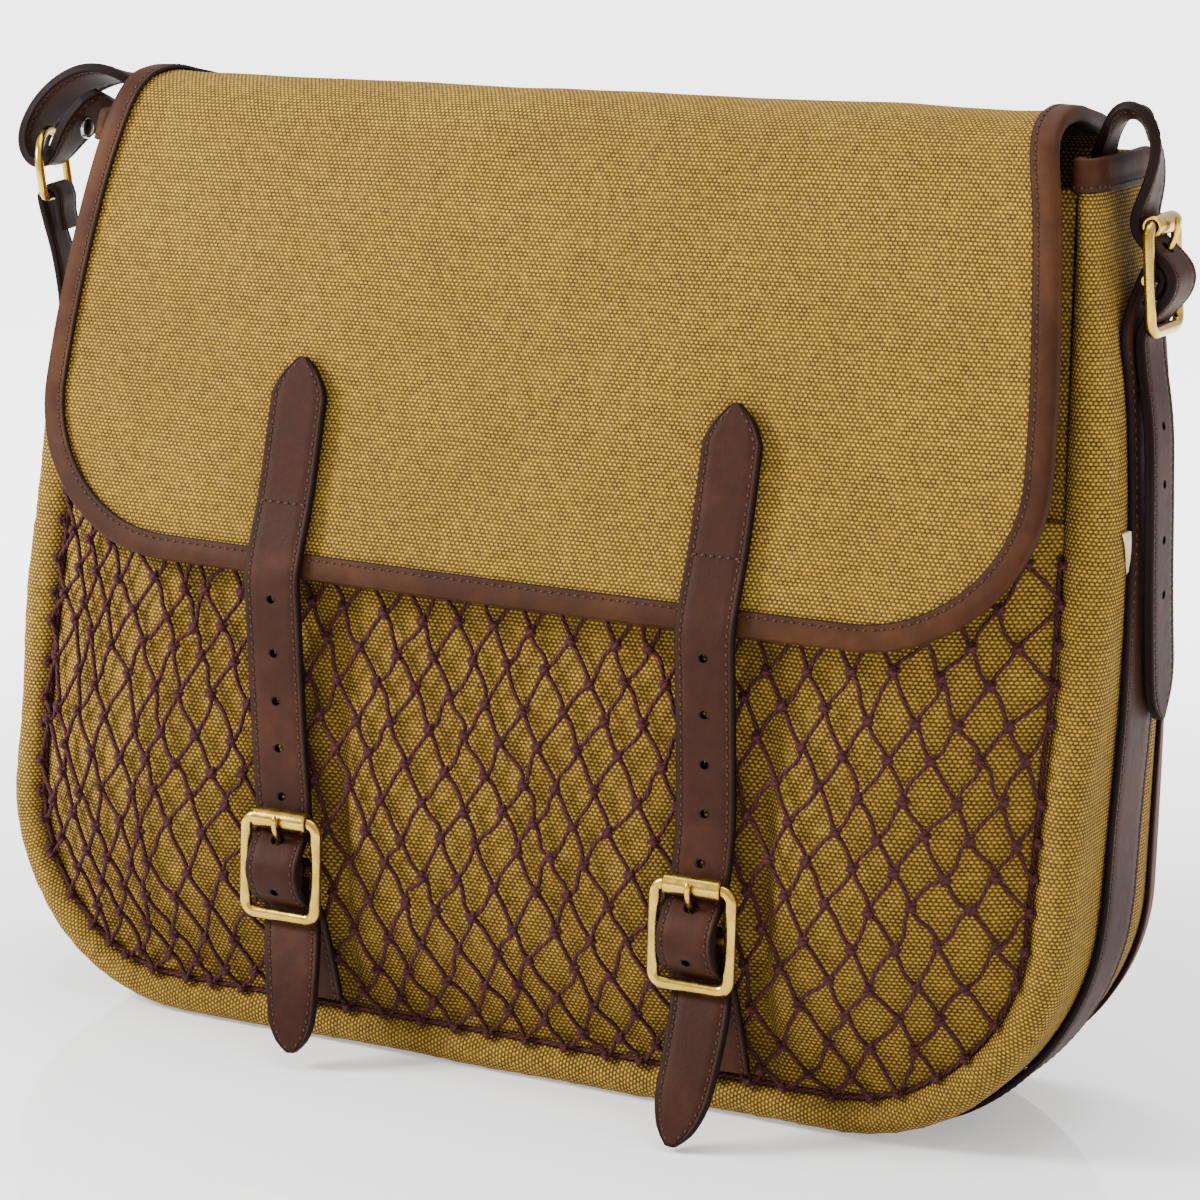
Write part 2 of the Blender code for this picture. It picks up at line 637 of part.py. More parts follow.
def flap_row(length):
    length = min(max(length, 0.0), FLAP_LONG)
    for i, (a, b) in enumerate(zip(FLAP_LENGTHS, FLAP_LENGTHS[1:])):
        if length <= b:
            share = (length - a) / (b - a)
            return FlapRow(*(p * (1 - share) + q * share for p, q in zip(FLAP[i], FLAP[i + 1])))
    return FLAP[-1]


def flap_face(x, length):
    """The flap's outer face, from its flat cut: x across and length down from the back seam."""
    row = flap_row(length)
    across = x / FLAP_HALF
    return Vector((across * row.half, row.y - row.crown * (1 - across * across),
                   slanted(across * row.half, row.z)))


def flap_outline():
    """The flat cut's edge from its back left corner, round the front corners, to the back right."""
    left = [(-FLAP_HALF, length) for length in FLAP_LENGTHS if length < FLAP_LONG - FLAP_CORNER]
    knee = FLAP_LONG - FLAP_CORNER
    for i in range(7):
        angle = math.radians(15 * i)
        left.append((-FLAP_HALF + FLAP_CORNER * (1 - math.cos(angle)),
                     knee + FLAP_CORNER * math.sin(angle)))
    flat = [(x, FLAP_LONG) for x in (-90, -45, 0, 45, 90)]
    return left + flat + [(-x, length) for x, length in reversed(left)]


def build_flap():
    columns = [-FLAP_HALF + 2 * FLAP_HALF * i / 12 for i in range(13)]
    flipped = [(x, -length) for x, length in flap_outline()]
    bm = clipped_grid(columns, [-length for length in reversed(FLAP_LENGTHS)], flipped)
    wrap(bm, lambda x, z: flap_face(x, -z))
    face_outwards(bm, Vector((0, -1, 1)))
    thicken(add_object("flap", bm, DUCK), CANVAS, -1)

    bound = [(x, length) for x, length in flap_outline() if length > FLAP_LENGTHS[FLAP_BOUND_FROM] - 0.1]
    points = [flap_face(x, length) for x, length in bound]
    step = 1.0
    normals = []
    for x, length in bound:
        along = flap_face(min(x + step, FLAP_HALF), length) - flap_face(max(x - step, -FLAP_HALF), length)
        down = flap_face(x, length + step) - flap_face(x, length - step)
        normals.append(down.cross(along).normalized())
    outs = [normal.cross(tangent).normalized() for normal, tangent in zip(normals, tangents(points))]
    if outs[0].x > 0:
        outs = [-out for out in outs]
    loft("flap_binding", channel_rings(points, outs, normals, BINDING_REACH, BINDING_GAP), EDGE_HIDE)


def build_pocket():
    """The stuffed canvas pocket."""
    outline = u_outline("seam", SEAM_RADIUS, SEAM_BOTTOM, POCKET_TOP, inset=0.6)
    half_columns = (14, 38, 56, 68, 78, 88, 98, 110, 130, 152, 172, 187, 198)
    columns = [-x for x in reversed(half_columns)] + list(half_columns)
    rows = [SEAM_BOTTOM, 19, 26, 36, 50, 68, 90, 112, 140, 168, POCKET_TOP]
    bm = clipped_grid(columns, rows, outline)
    wrap(bm, pocket_face)
    face_outwards(bm, Vector((0, -1, 0)))
    thicken(add_object("pocket_panel", bm, DUCK), THIN_CANVAS, -1)


def build_net():
    """Knotted netting over the pocket, with cells about twice as coarse as the real ones."""
    across = math.ceil(400 / CELL_WIDTH / 2) * 2
    up = math.ceil(200 / CELL_HEIGHT / 2) * 2
    cells = across + up
    bm = bmesh.new()
    bmesh.ops.create_grid(bm, x_segments=cells, y_segments=cells, size=cells / 2)
    turn = Matrix.Rotation(math.radians(45), 4, "Z")
    for vert in bm.verts:
        flat = turn @ vert.co
        vert.co = (flat.x * CELL_WIDTH / math.sqrt(2), 0.0,
                   100.0 + flat.y * CELL_HEIGHT / math.sqrt(2))
    cut_to_outline(bm, u_outline("seam", SEAM_RADIUS, SEAM_BOTTOM, POCKET_TOP - 1.5, inset=4.0))
    top = POCKET_TOP - 1.5
    bmesh.ops.bisect_plane(bm, geom=bm.verts[:] + bm.edges[:] + bm.faces[:], dist=1e-4,
                           plane_co=(0, 0, top), plane_no=(0, 0, 1), clear_outer=True)
    whole = [face for face in bm.faces if face.calc_area() > 90.0]
    bmesh.ops.inset_individual(bm, faces=whole, thickness=STRAND / 2, use_even_offset=True)
    bmesh.ops.delete(bm, geom=whole, context="FACES")

    def place(x, z):
        return pocket_face(x, z, NET_PINCH) + pocket_normal(x, z) * (NET_GAP + NET_THICK)
    wrap(bm, place)
    face_outwards(bm, Vector((0, -1, 0)))
    thicken(add_object("net", bm, TWINE, smooth=False), NET_THICK, -1)


def along_rows(rows, step):
    """A smooth run of points and widths through a strap's table."""
    points = [Vector((row.x, row.y, row.z, row.width)) for row in rows]
    path = smooth_path(points, step)
    return [point.xyz for point in path], [min(max(point.w, 1.5), STRAP_WIDTH) for point in path]


def hole_places(points, across, heights, radius):
    """Where a strap comes down through each height, square to its face there."""
    places = []
    for z in heights:
        above = max(i for i, point in enumerate(points[:-1]) if point.z >= z)
        down = points[above + 1] - points[above]
        share = (points[above].z - z) / -down.z
        places.append((points[above] + down * share, down.cross(across[above]).normalized(), radius))
    return places


def punch(obj, places):
    """Cuts round holes through a strap at the places given."""
    bm = bmesh.new()
    for point, direction, radius in places:
        turn = direction.to_track_quat("Z", "Y").to_matrix().to_4x4()
        bmesh.ops.create_cone(bm, cap_ends=True, segments=8, radius1=radius * MM,
                              radius2=radius * MM, depth=12 * MM,
                              matrix=Matrix.Translation(point * MM) @ turn)
    cutter = add_object(obj.name + "_holes", bm, HIDE, smooth=False)
    cutter.hide_render = True
    cutter.display_type = "WIRE"
    cut = obj.modifiers.new("holes", "BOOLEAN")
    cut.operation = "DIFFERENCE"
    cut.object = cutter


def build_front_strap(name, rows):
    points, widths = along_rows(rows, 9.0)
    across = [Vector((1, 0, 0))] * len(points)
    obj = loft(name, band_rings(points, across, widths, STRAP_THICK), HIDE)
    punch(obj, hole_places(points, across, STRAP_HOLES, HOLE_RADIUS)
          + hole_places(points, across, [TONGUE_HOLE], TONGUE_HOLE_RADIUS))


def build_buckle(name, centre, across, up, tongue_end):
    """A whole roller buckle: frame with centre bar, roller and tongue."""
    centre, across, up = Vector(centre), Vector(across), Vector(up)
    out = across.cross(up)

    def place(a, u, o=0.0):
        return centre + across * a + up * u + out * o
    corner = 4.0
    ring = []
    for sign_a, sign_u, start in ((1, 1, 0), (-1, 1, 90), (-1, -1, 180), (1, -1, 270)):
        for i in range(4):
            angle = math.radians(start + 30 * i)
            ring.append(place(sign_a * (FRAME_HALF - corner) + corner * math.cos(angle),
                              sign_u * (FRAME_REACH - corner) + corner * math.sin(angle)))
    frame = loft(name + "_frame", tube_rings(ring, FRAME_WIRE, 8, closed=True), BRASS, closed=True)
    bar = rod(name + "_bar", place(-FRAME_HALF, 0, -1.0), place(FRAME_HALF, 0, -1.0), 2.0, 8, BRASS)
    bar.hide_render = True
    bar.display_type = "WIRE"
    join = frame.modifiers.new("bar", "BOOLEAN")
    join.operation = "UNION"
    join.object = bar
    rod(name + "_roller", place(-ROLLER_HALF, FRAME_REACH), place(ROLLER_HALF, FRAME_REACH),
        ROLLER_RADIUS, 10, BRASS, bore=FRAME_WIRE + GAP)
    tongue = [place(0, u, o) for u, o in tongue_end]
    loft(name + "_prong", tube_rings(tongue, 1.15, 6), BRASS)


def build_front_buckles():
    """The two front buckles with the leather chapes that hold them to the pocket's bottom seam."""
    route = ((-77.0, 65.6), (-78.6, 70.2), (-77.6, 73.4), (-75.0, 74.6), (-72.4, 73.4),
             (-71.3, 70.2), (-69.2, 62.0), (-64.6, 50.0), (-59.6, 36.0), (-55.8, 24.0), (-54.2, 18.0))
    tongue = ((5.8, -3.6), (7.4, -2.3), (9.4, 0.0), (11.4, 2.2), (14.4, 4.4), (17.6, 5.3), (20.2, 4.9))
    for side, x in zip(("left", "right"), BUCKLE_X):
        build_buckle("buckle_" + side, (x, BUCKLE_Y, BUCKLE_Z), (1, 0, 0), (0, 0, 1), tongue)
        points = [Vector((x + 2.0 * max(0.0, (62.0 - z) / 44.0), y, z)) for y, z in route]
        widths = [CHAPE_WIDTH - 4.0 if z > 58 else CHAPE_WIDTH for y, z in route]
        loft("chape_" + side, band_rings(points, [Vector((1, 0, 0))] * len(points), widths,
                                         CHAPE_THICK), HIDE)


def build_side_strip(side, fold, strip_y, sewn_from):
    """A leather strip sewn down the side, with its top end folded round the hardware."""
    sign = -1 if side == "left" else 1
    lift = GAP + SIDE_STRIP_THICK / 2
    outline = u_outline("side", SIDE_RADIUS, 0.0, sewn_from, inset=-lift)
    end_z = SIDE_RADIUS - (SIDE_RADIUS + lift) * math.sin(math.radians(STRIP_END_ANGLE))
    points = []
    across = []
    for row in fold:
        turn = math.radians(RING_TURN) if side == "left" else 0.0
        outward = Vector((sign * math.cos(turn), math.sin(turn), 0))
        points.append(Vector((sign * FOLD_FROM, row.y, row.z)) + outward * (row.x - FOLD_FROM))
        across.append(Vector((-sign * math.sin(turn), math.cos(turn), 0)))
    for x, z in outline:
        if x < 0 and z > end_z:
            points.append(Vector((-sign * x, strip_y, slanted(-sign * x, z))))
            across.append(Vector((0, 1, 0)))
    widths = [row.width for row in fold] + [SIDE_STRIP_WIDTH] * (len(points) - len(fold))
    loft("side_strip_" + side, band_rings(points, across, widths, SIDE_STRIP_THICK), HIDE)


def build_ring():
    """The D ring in the left side strip's fold."""
    turn, lean = math.radians(RING_TURN), math.radians(RING_LEAN)
    wide = Vector((math.sin(turn), math.cos(turn), 0))
    outward = Vector((-math.cos(turn), math.sin(turn), 0))
    high = Vector((0, 0, 1)) * math.cos(lean) + outward * math.sin(lean)
    flat = [(-RING_HALF + 2, 0), (0, 0), (RING_HALF - 2, 0), (RING_HALF - 0.5, 1.0), (RING_HALF, 4.0)]
    for i in range(9):
        angle = math.radians(180 * i / 8)
        flat.append((RING_HALF * math.cos(angle), RING_HEIGHT + RING_HALF * math.sin(angle)))
    flat += [(-RING_HALF, 4.0), (-RING_HALF + 0.5, 1.0)]
    points = [Vector(RING_BAR) + wide * a + high * b for a, b in flat]
    loft("d_ring", tube_rings(points, RING_WIRE, 6, closed=True), BRASS, closed=True)


def build_shoulder_strap():
    """The two-layer strap, from its closed loop in the D ring, through the bag, to its buckled tail."""
    points = [Vector((row.x, row.y, row.z, row.turn)) for row in SHOULDER]
    more = [Vector((row.x, row.y, row.z, row.lean)) for row in SHOULDER]
    wide = [Vector((row.x, row.y, row.z, row.width)) for row in SHOULDER]
    path = smooth_path(points, 13.0)
    leans = [point.w for point in smooth_path(more, 13.0)]
    widths = [min(max(point.w, 2.0), STRAP_WIDTH) for point in smooth_path(wide, 13.0)]
    across = []
    for point, lean in zip(path, leans):
        turn, drop = math.radians(point.w), math.radians(lean)
        across.append(Vector((math.sin(turn) * math.cos(drop), math.cos(turn) * math.cos(drop),
                              -math.sin(drop))))
    run = [point.xyz for point in path]
    obj = loft("shoulder_strap", band_rings(run, across, widths, SHOULDER_THICK), HIDE)
    punch(obj, hole_places(run, across, SHOULDER_HOLES, HOLE_RADIUS)
          + hole_places(run, across, [SHOULDER_TONGUE_HOLE], TONGUE_HOLE_RADIUS))
    seat = next(i for i, point in enumerate(run) if point.z < STUD_HEIGHT)
    facing = (run[seat + 1] - run[seat - 1]).cross(across[seat]).normalized()
    if facing.x < 0:
        facing = -facing
    start = run[seat] + facing * (SHOULDER_THICK / 2 + STUD_GAP)
    rod("press_stud", start, start + facing * 2.0, STUD_RADIUS, 10, DARK_METAL)


def build_shoulder_buckle():
    lean = math.radians(SHOULDER_BUCKLE_LEAN)
    up = Vector((-math.sin(lean), 0, math.cos(lean)))
    tongue = ((7.0, -1.7), (8.4, 0.6), (10.4, 2.8), (13.7, 4.5), (17.4, 5.4), (20.1, 5.2))
    build_buckle("shoulder_buckle", SHOULDER_BUCKLE, (0, 1, 0), up, tongue)


def build_label():
    """The blank tab at the right strip's front edge."""
    rings = []
    for drop, width in ((0.0, LABEL_WIDTH), (LABEL_DROP * 0.6, LABEL_WIDTH * 0.7), (LABEL_DROP, 1.5)):
        z = LABEL_TOP - drop
        x = half_width("side", z) + GAP + 0.3
        corners = ((x, -width), (x, 0.0), (x + 0.8, 0.0), (x + 0.8, -width))
        rings.append([(a, LABEL_FRONT_Y + b, slanted(a, z)) for a, b in corners])
    loft("side_label", rings, TAPE)


def main():
    for obj in list(bpy.data.objects):
        bpy.data.objects.remove(obj, do_unlink=True)
    build_gusset()
    build_body_panels()
    build_gusset_bindings()
    build_pocket()
    build_net()
    build_flap()
    build_front_strap("front_strap_left", LEFT_STRAP)
    build_front_strap("front_strap_right", RIGHT_STRAP)
    build_front_buckles()
    build_side_strip("left", LEFT_FOLD, LEFT_STRIP_Y, STRIP_SEWN_FROM[1])
    build_side_strip("right", RIGHT_FOLD, RIGHT_STRIP_Y, STRIP_SEWN_FROM[0])
    build_ring()
    build_shoulder_strap()
    build_shoulder_buckle()
    build_label()


main()
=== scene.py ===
"""Looks of a canvas and leather game bag with a netted pocket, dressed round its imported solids.

The front faces -Y, +X is the viewer's right, +Z is up. Sizes in the classes and tables are in
millimetres, and each mesh is scaled to metres when it becomes a piece.
"""

import logging
import math
from bisect import bisect_right
from dataclasses import dataclass, field
from enum import Enum
from itertools import groupby
from typing import Callable, Sequence

import bmesh
import bpy
from bmesh.types import BMesh
from bpy.types import Material, Mesh, NodeSocket, Object
from mathutils import Matrix, Vector, noise


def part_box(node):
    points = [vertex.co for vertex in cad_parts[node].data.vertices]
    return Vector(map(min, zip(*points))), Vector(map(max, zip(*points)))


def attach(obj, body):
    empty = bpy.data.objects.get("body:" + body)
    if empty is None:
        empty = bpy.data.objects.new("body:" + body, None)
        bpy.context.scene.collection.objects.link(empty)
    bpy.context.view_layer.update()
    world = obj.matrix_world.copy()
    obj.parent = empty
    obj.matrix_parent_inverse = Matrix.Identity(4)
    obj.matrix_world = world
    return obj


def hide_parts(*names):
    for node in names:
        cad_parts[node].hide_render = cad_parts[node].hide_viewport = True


LOG = logging.getLogger("game_bag")
MM = 0.001
UV_NAME = "weave"
EDGE_NAME = "edge"
FAR_INSIDE = 99.0  # the edge distance, in millimetres, of a place with no cut edge near it
ONE_POINT = 1e-4  # points closer than this, in millimetres, are one point
Point2 = tuple[float, float]
Row = Sequence[float]

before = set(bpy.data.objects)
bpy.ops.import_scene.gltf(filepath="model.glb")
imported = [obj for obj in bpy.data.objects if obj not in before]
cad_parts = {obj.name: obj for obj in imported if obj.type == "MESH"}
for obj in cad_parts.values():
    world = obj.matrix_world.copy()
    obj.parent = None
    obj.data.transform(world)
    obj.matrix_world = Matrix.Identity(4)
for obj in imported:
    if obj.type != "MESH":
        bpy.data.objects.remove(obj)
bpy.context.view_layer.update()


class Side(Enum):
    """The bag's two sides, seen from the front."""

    LEFT = -1
    RIGHT = 1

    @property
    def word(self) -> str:
        """The side's name in a piece's name."""
        return self.name.lower()


class Table:
    """Rows of named columns, read smoothly between the rows by the first column."""

    def __init__(self, names: str, rows: Sequence[Row]) -> None:
        """Sorts the rows and finds a slope for each value that never overshoots.

        Args:
            names: the column names, separated by spaces.
            rows: one row of numbers for each station.
        """
        rows = sorted(rows)
        self.keys = [row[0] for row in rows]
        self.columns = {name: [row[i] for row in rows] for i, name in enumerate(names.split())}
        self.slopes = {name: self._slopes(values) for name, values in self.columns.items()}

    def _slopes(self, values: Sequence[float]) -> list[float]:
        """The slope at each row.

        Args:
            values: one column.

        Returns:
            A slope for each row, zero where the column turns.
        """
        steps = [(b - a) / (q - p)
                 for a, b, p, q in zip(values, values[1:], self.keys, self.keys[1:])]
        inner = [2 * a * b / (a + b) if a * b > 0 else 0.0 for a, b in zip(steps, steps[1:])]
        return [steps[0]] + inner + [steps[-1]]

    def at(self, name: str, where: float) -> float:
        """A column's value.

        Args:
            name: the column.
            where: the place along the first column.

        Returns:
            The smooth value there, or the end row's beyond the table.
        """
        values, slopes = self.columns[name], self.slopes[name]
        if where <= self.keys[0]:
            return values[0]
        if where >= self.keys[-1]:
            return values[-1]
        i = bisect_right(self.keys, where) - 1
        wide = self.keys[i + 1] - self.keys[i]
        t = (where - self.keys[i]) / wide
        return (values[i] * (2 * t ** 3 - 3 * t * t + 1)
                + values[i + 1] * (3 * t * t - 2 * t ** 3)
                + slopes[i] * wide * (t ** 3 - 2 * t * t + t)
                + slopes[i + 1] * wide * (t ** 3 - t * t))


def held(share: float) -> float:
    """A share kept from 0 to 1."""
    return min(max(share, 0.0), 1.0)


def ease(share: float) -> float:
    """A smooth step from 0 to 1."""
    share = held(share)
    return share * share * (3 - 2 * share)


def bell(away: float, width: float) -> float:
    """A smooth hump: 1 at no distance, and falling away over the width."""
    return math.exp(-(away / width) ** 2)


def ripple(x: float, y: float, z: float, size: float, seed: float = 0.0) -> float:
    """Smooth noise from -1 to 1 whose swells are about one size across."""
    return noise.noise(Vector((x / size + seed, y / size - seed, z / size + 2 * seed)))


# ---- Materials


class Graph:
    """A material's node tree, with short calls for the nodes used here."""

    def __init__(self, name: str) -> None:
        """Starts a material with a Principled shader.

        Args:
            name: the material's name.
        """
        self.material = bpy.data.materials.new(name)
        self.material.use_nodes = True
        self.tree = self.material.node_tree
        self.shader = self.tree.nodes["Principled BSDF"]

    def node(self, kind: str, links: dict | None = None, **settings: object) -> bpy.types.Node:
        """Adds a node.

        Args:
            kind: the node's type name.
            links: values or sockets for its inputs, by name or number.
            settings: its other properties.

        Returns:
            The node.
        """
        made = self.tree.nodes.new(kind)
        for key, value in settings.items():
            setattr(made, key, value)
        for key, value in (links or {}).items():
            self.feed(made.inputs[key], value)
        return made

    def feed(self, socket: NodeSocket, value: object) -> None:
        """Links a socket to another, or sets it to a number or colour.

        Args:
            socket: the input.
            value: a socket, a number or a colour.
        """
        if isinstance(value, NodeSocket):
            self.tree.links.new(value, socket)
        elif isinstance(value, (tuple, list)) and len(value) == 3 and socket.type == "RGBA":
            socket.default_value = (*value, 1.0)
        else:
            socket.default_value = value

    def shade(self, **values: object) -> None:
        """Feeds the shader's inputs, by their names with underscores for spaces."""
        for key, value in values.items():
            self.feed(self.shader.inputs[key.replace("_", " ")], value)

    def math(self, operation: str, a: object, b: object = 0.0) -> NodeSocket:
        """One sum on one or two values."""
        return self.node("ShaderNodeMath", {0: a, 1: b}, operation=operation).outputs[0]

    def plus(self, a: object, b: object) -> NodeSocket:
        """Two values added."""
        return self.math("ADD", a, b)

    def times(self, a: object, b: object) -> NodeSocket:
        """Two values multiplied."""
        return self.math("MULTIPLY", a, b)

    def off_middle(self, value: object) -> NodeSocket:
        """How far a value's fraction is from a half, below or above it."""
        return self.math("SUBTRACT", self.math("FRACT", value), 0.5)

    def rib(self, where: object, pitch: float) -> NodeSocket:
        """Round ribs from 0 to 1, with a pitch in millimetres."""
        return self.math("ABSOLUTE", self.math("SINE", self.times(where, math.pi / (pitch * MM))))

    def spread(self, value: object, low: float, high: float, to_low: float = 0.0,
               to_high: float = 1.0) -> NodeSocket:
        """Maps a value smoothly from one range to another.

        Args:
            value: the value.
            low: where its range starts.
            high: where its range ends.
            to_low: what it becomes at the start.
            to_high: what it becomes at the end.

        Returns:
            The mapped value.
        """
        made = self.node("ShaderNodeMapRange", {"Value": value, "From Min": low, "From Max": high,
                                                "To Min": to_low, "To Max": to_high},
                         interpolation_type="SMOOTHSTEP")
        return made.outputs["Result"]

    def noise(self, where: object, size: float, detail: float = 3.0) -> NodeSocket:
        """Noise from 0 to 1 whose swells are about one size in millimetres across."""
        made = self.node("ShaderNodeTexNoise", {"Vector": where, "Scale": 1.0 / (size * MM),
                                                "Detail": detail})
        return made.outputs["Fac"]

    def mix(self, share: object, a: object, b: object) -> NodeSocket:
        """A colour between two.

        Args:
            share: how much of the second there is.
            a: the first colour.
            b: the second colour.

        Returns:
            The colour.
        """
        made = self.node("ShaderNodeMix", data_type="RGBA")
        for index, value in ((0, share), (6, a), (7, b)):
            self.feed(made.inputs[index], value)
        return made.outputs[2]

    def bump(self, height: object, depth: float, strength: float = 1.0,
             normal: object = None) -> NodeSocket:
        """A normal from a height, with its depth in millimetres.

        Args:
            height: the height, from 0 to 1.
            depth: its depth in millimetres.
            strength: how much of it shows.
            normal: a finer normal under it.

        Returns:
            The normal.
        """
        links = {"Height": height, "Distance": depth * MM, "Strength": strength}
        if normal is not None:
            links["Normal"] = normal
        return self.node("ShaderNodeBump", links).outputs[0]

    def place(self) -> NodeSocket:
        """The point on the object, in metres."""
        return self.node("ShaderNodeTexCoord").outputs["Object"]

    def cloth_place(self) -> tuple[NodeSocket, NodeSocket]:
        """Metres across and along the piece's own cloth."""
        uv = self.node("ShaderNodeUVMap", uv_map=UV_NAME).outputs[0]
        apart = self.node("ShaderNodeSeparateXYZ", {0: uv})
        return apart.outputs[0], apart.outputs[1]

    def edge(self) -> NodeSocket:
        """Millimetres in from the nearest cut edge."""
        return self.node("ShaderNodeAttribute", attribute_name=EDGE_NAME).outputs["Fac"]


@dataclass(frozen=True)
class Duck:
    """Heavy plain-woven cotton, whose thread crowns stand as pale nubs in offset rows, with painted
    shade in the dark valleys between them.
    """

    name: str = "duck_cloth"
    crown: tuple = (0.470, 0.276, 0.036)
    # valley: the painted shade between thread crowns, also the darker tone that slubs and clouds
    # lean towards
    valley: tuple = (0.036, 0.017, 0.0018)
    across: float = 1.77
    along: float = 1.33
    depth: float = 0.34
    nub_edge: float = 0.50
    nub_top: float = 0.16
    fleck_share: float = 0.16
    drift: float = 1.2
    drift_size: float = 30.0
    slub_size: float = 3.2
    slub_dark: float = 0.22
    cloud_size: float = 45.0
    cloud_dark: float = 0.14
    fibre_size: float = 0.5
    fibre_depth: float = 0.06
    rough: float = 0.92
    specular: float = 0.17

    def material(self) -> Material:
        """The cloth's material."""
        g = Graph(self.name)
        u, v = g.cloth_place()
        place = g.place()
        drift = g.times(g.math("SUBTRACT", g.noise(place, self.drift_size), 0.5), self.drift * MM)
        row = g.math("DIVIDE", g.plus(v, drift), self.along * MM)
        row_index = g.math("FLOOR", row)
        offset = g.times(g.math("MODULO", row_index, 2.0), 0.5)
        column = g.plus(g.math("DIVIDE", u, self.across * MM), offset)
        off_u, off_v = g.off_middle(column), g.off_middle(row)
        far = g.math("SQRT", g.plus(g.times(off_u, off_u), g.times(off_v, off_v)))
        nub = g.spread(far, self.nub_edge, self.nub_top)
        cell = g.node("ShaderNodeCombineXYZ", {0: g.math("FLOOR", column), 1: row_index})
        fleck = g.node("ShaderNodeTexWhiteNoise", {"Vector": cell.outputs[0]},
                       noise_dimensions="2D").outputs["Value"]
        slub = g.spread(g.noise(place, self.slub_size, 2.0), 0.35, 0.7)
        cloud = g.spread(g.noise(place, self.cloud_size, 3.0), 0.3, 0.72)
        share = g.plus(g.times(nub, 1.0 - self.fleck_share), g.times(fleck, self.fleck_share))
        # painted shade: away from each nub's crown the colour darkens to the valley colour
        base = g.mix(share, self.valley, self.crown)
        toned = g.mix(slub, g.mix(self.slub_dark, base, self.valley), base)
        clouded = g.mix(cloud, g.mix(self.cloud_dark, toned, self.valley), toned)
        fine = g.bump(g.noise(place, self.fibre_size, 2.0), self.fibre_depth)
        g.shade(Base_Color=clouded, Roughness=self.rough, Specular_IOR_Level=self.specular,
                Normal=g.bump(nub, self.depth, 1.0, fine))
        return g.material


@dataclass(frozen=True)
class Hide:
    """Oiled leather, paler where it is handled and darker along its cut edges."""

    name: str
    base: tuple
    worn: tuple
    cut: tuple
    rough: float = 0.57
    edge_width: float = 1.5
    cloud_size: float = 34.0
    mottle_size: float = 5.0
    pore_size: float = 1.1
    grain_size: float = 2.2
    grain_depth: float = 0.12
    crease_size: float = 9.0
    crease_depth: float = 0.4
    specular: float = 0.09

    def material(self) -> Material:
        """The leather's material."""
        g = Graph(self.name)
        place = g.place()
        cloud = g.spread(g.noise(place, self.cloud_size, 4.0), 0.42, 0.72)
        mottle = g.noise(place, self.mottle_size, 5.0)
        tone = g.mix(cloud, self.base, self.worn)
        tone = g.mix(g.spread(mottle, 0.35, 0.75), g.mix(0.3, tone, self.cut), tone)
        colour = g.mix(g.spread(g.edge(), self.edge_width, 0.2), tone, self.cut)
        pore = g.node("ShaderNodeTexVoronoi",
                      {"Vector": place, "Scale": 1.0 / (self.pore_size * MM)}).outputs["Distance"]
        grain = g.plus(g.times(pore, 0.6), g.times(g.noise(place, self.grain_size), 0.9))
        creased = g.bump(g.noise(place, self.crease_size, 2.0), self.crease_depth, 0.12)
        g.shade(Base_Color=colour, Roughness=g.plus(self.rough - 0.08, g.times(mottle, 0.18)),
                Specular_IOR_Level=self.specular,
                Normal=g.bump(grain, self.grain_depth, 0.7, creased))
        return g.material


@dataclass(frozen=True)
class Metal:
    """Cast and tumbled metal, with fine rubbing marks."""

    name: str
    base: tuple
    dull: tuple
    rough: float

    def material(self) -> Material:
        """The metal's material."""
        g = Graph(self.name)
        place = g.place()
        film = g.noise(place, 6.0, 4.0)
        g.shade(Base_Color=g.mix(g.spread(film, 0.35, 0.75), self.base, self.dull), Metallic=1.0,
                Roughness=g.spread(g.noise(place, 3.0), 0.3, 0.7, self.rough - 0.05,
                                   self.rough + 0.08),
                Normal=g.bump(g.noise(place, 0.8, 4.0), 0.05, 0.5))
        return g.material


@dataclass(frozen=True)
class Twist:
    """Laid twine or sewing thread, whose plies run round it as it goes, with painted shade in the
    grooves between the plies.
    """

    name: str
    pale: tuple
    # deep: the painted shade in the grooves between the plies
    deep: tuple
    lay: float
    plies: int
    stitch: float = 0.0
    # hole: painted shade where a stitch dives into its hole
    hole: tuple = (0.0035, 0.0013, 0.0009)
    fuzz_size: float = 0.7
    specular: float = 0.2

    def material(self) -> Material:
        """The twine's material; a stitch of thread is painted dark, as shade, where it enters its
        holes.
        """
        g = Graph(self.name)
        round_it, along = g.cloth_place()
        turn = g.plus(g.times(round_it, float(self.plies)),
                      g.math("DIVIDE", along, self.lay * MM))
        # ply is 1 on each ply's crown and 0 in the grooves, where the deep colour is painted shade
        ply = g.spread(g.math("ABSOLUTE", g.off_middle(turn)), 0.5, 0.08)
        fuzz = g.noise(g.place(), self.fuzz_size, 3.0)
        tone = g.mix(g.times(ply, g.spread(fuzz, 0.2, 0.6, 0.5, 1.0)), self.deep, self.pale)
        # painted shade: each stitch darkens towards its ends, where it enters the holes
        if self.stitch:
            middle = g.math("SUBTRACT", g.math("DIVIDE", along, self.stitch * MM), 0.5)
            tone = g.mix(g.spread(g.math("ABSOLUTE", middle), 0.20, 0.32), tone, self.hole)
        g.shade(Base_Color=tone, Roughness=0.8, Specular_IOR_Level=self.specular,
                Normal=g.bump(ply, 0.3, 0.9, g.bump(fuzz, 0.12)))
        return g.material


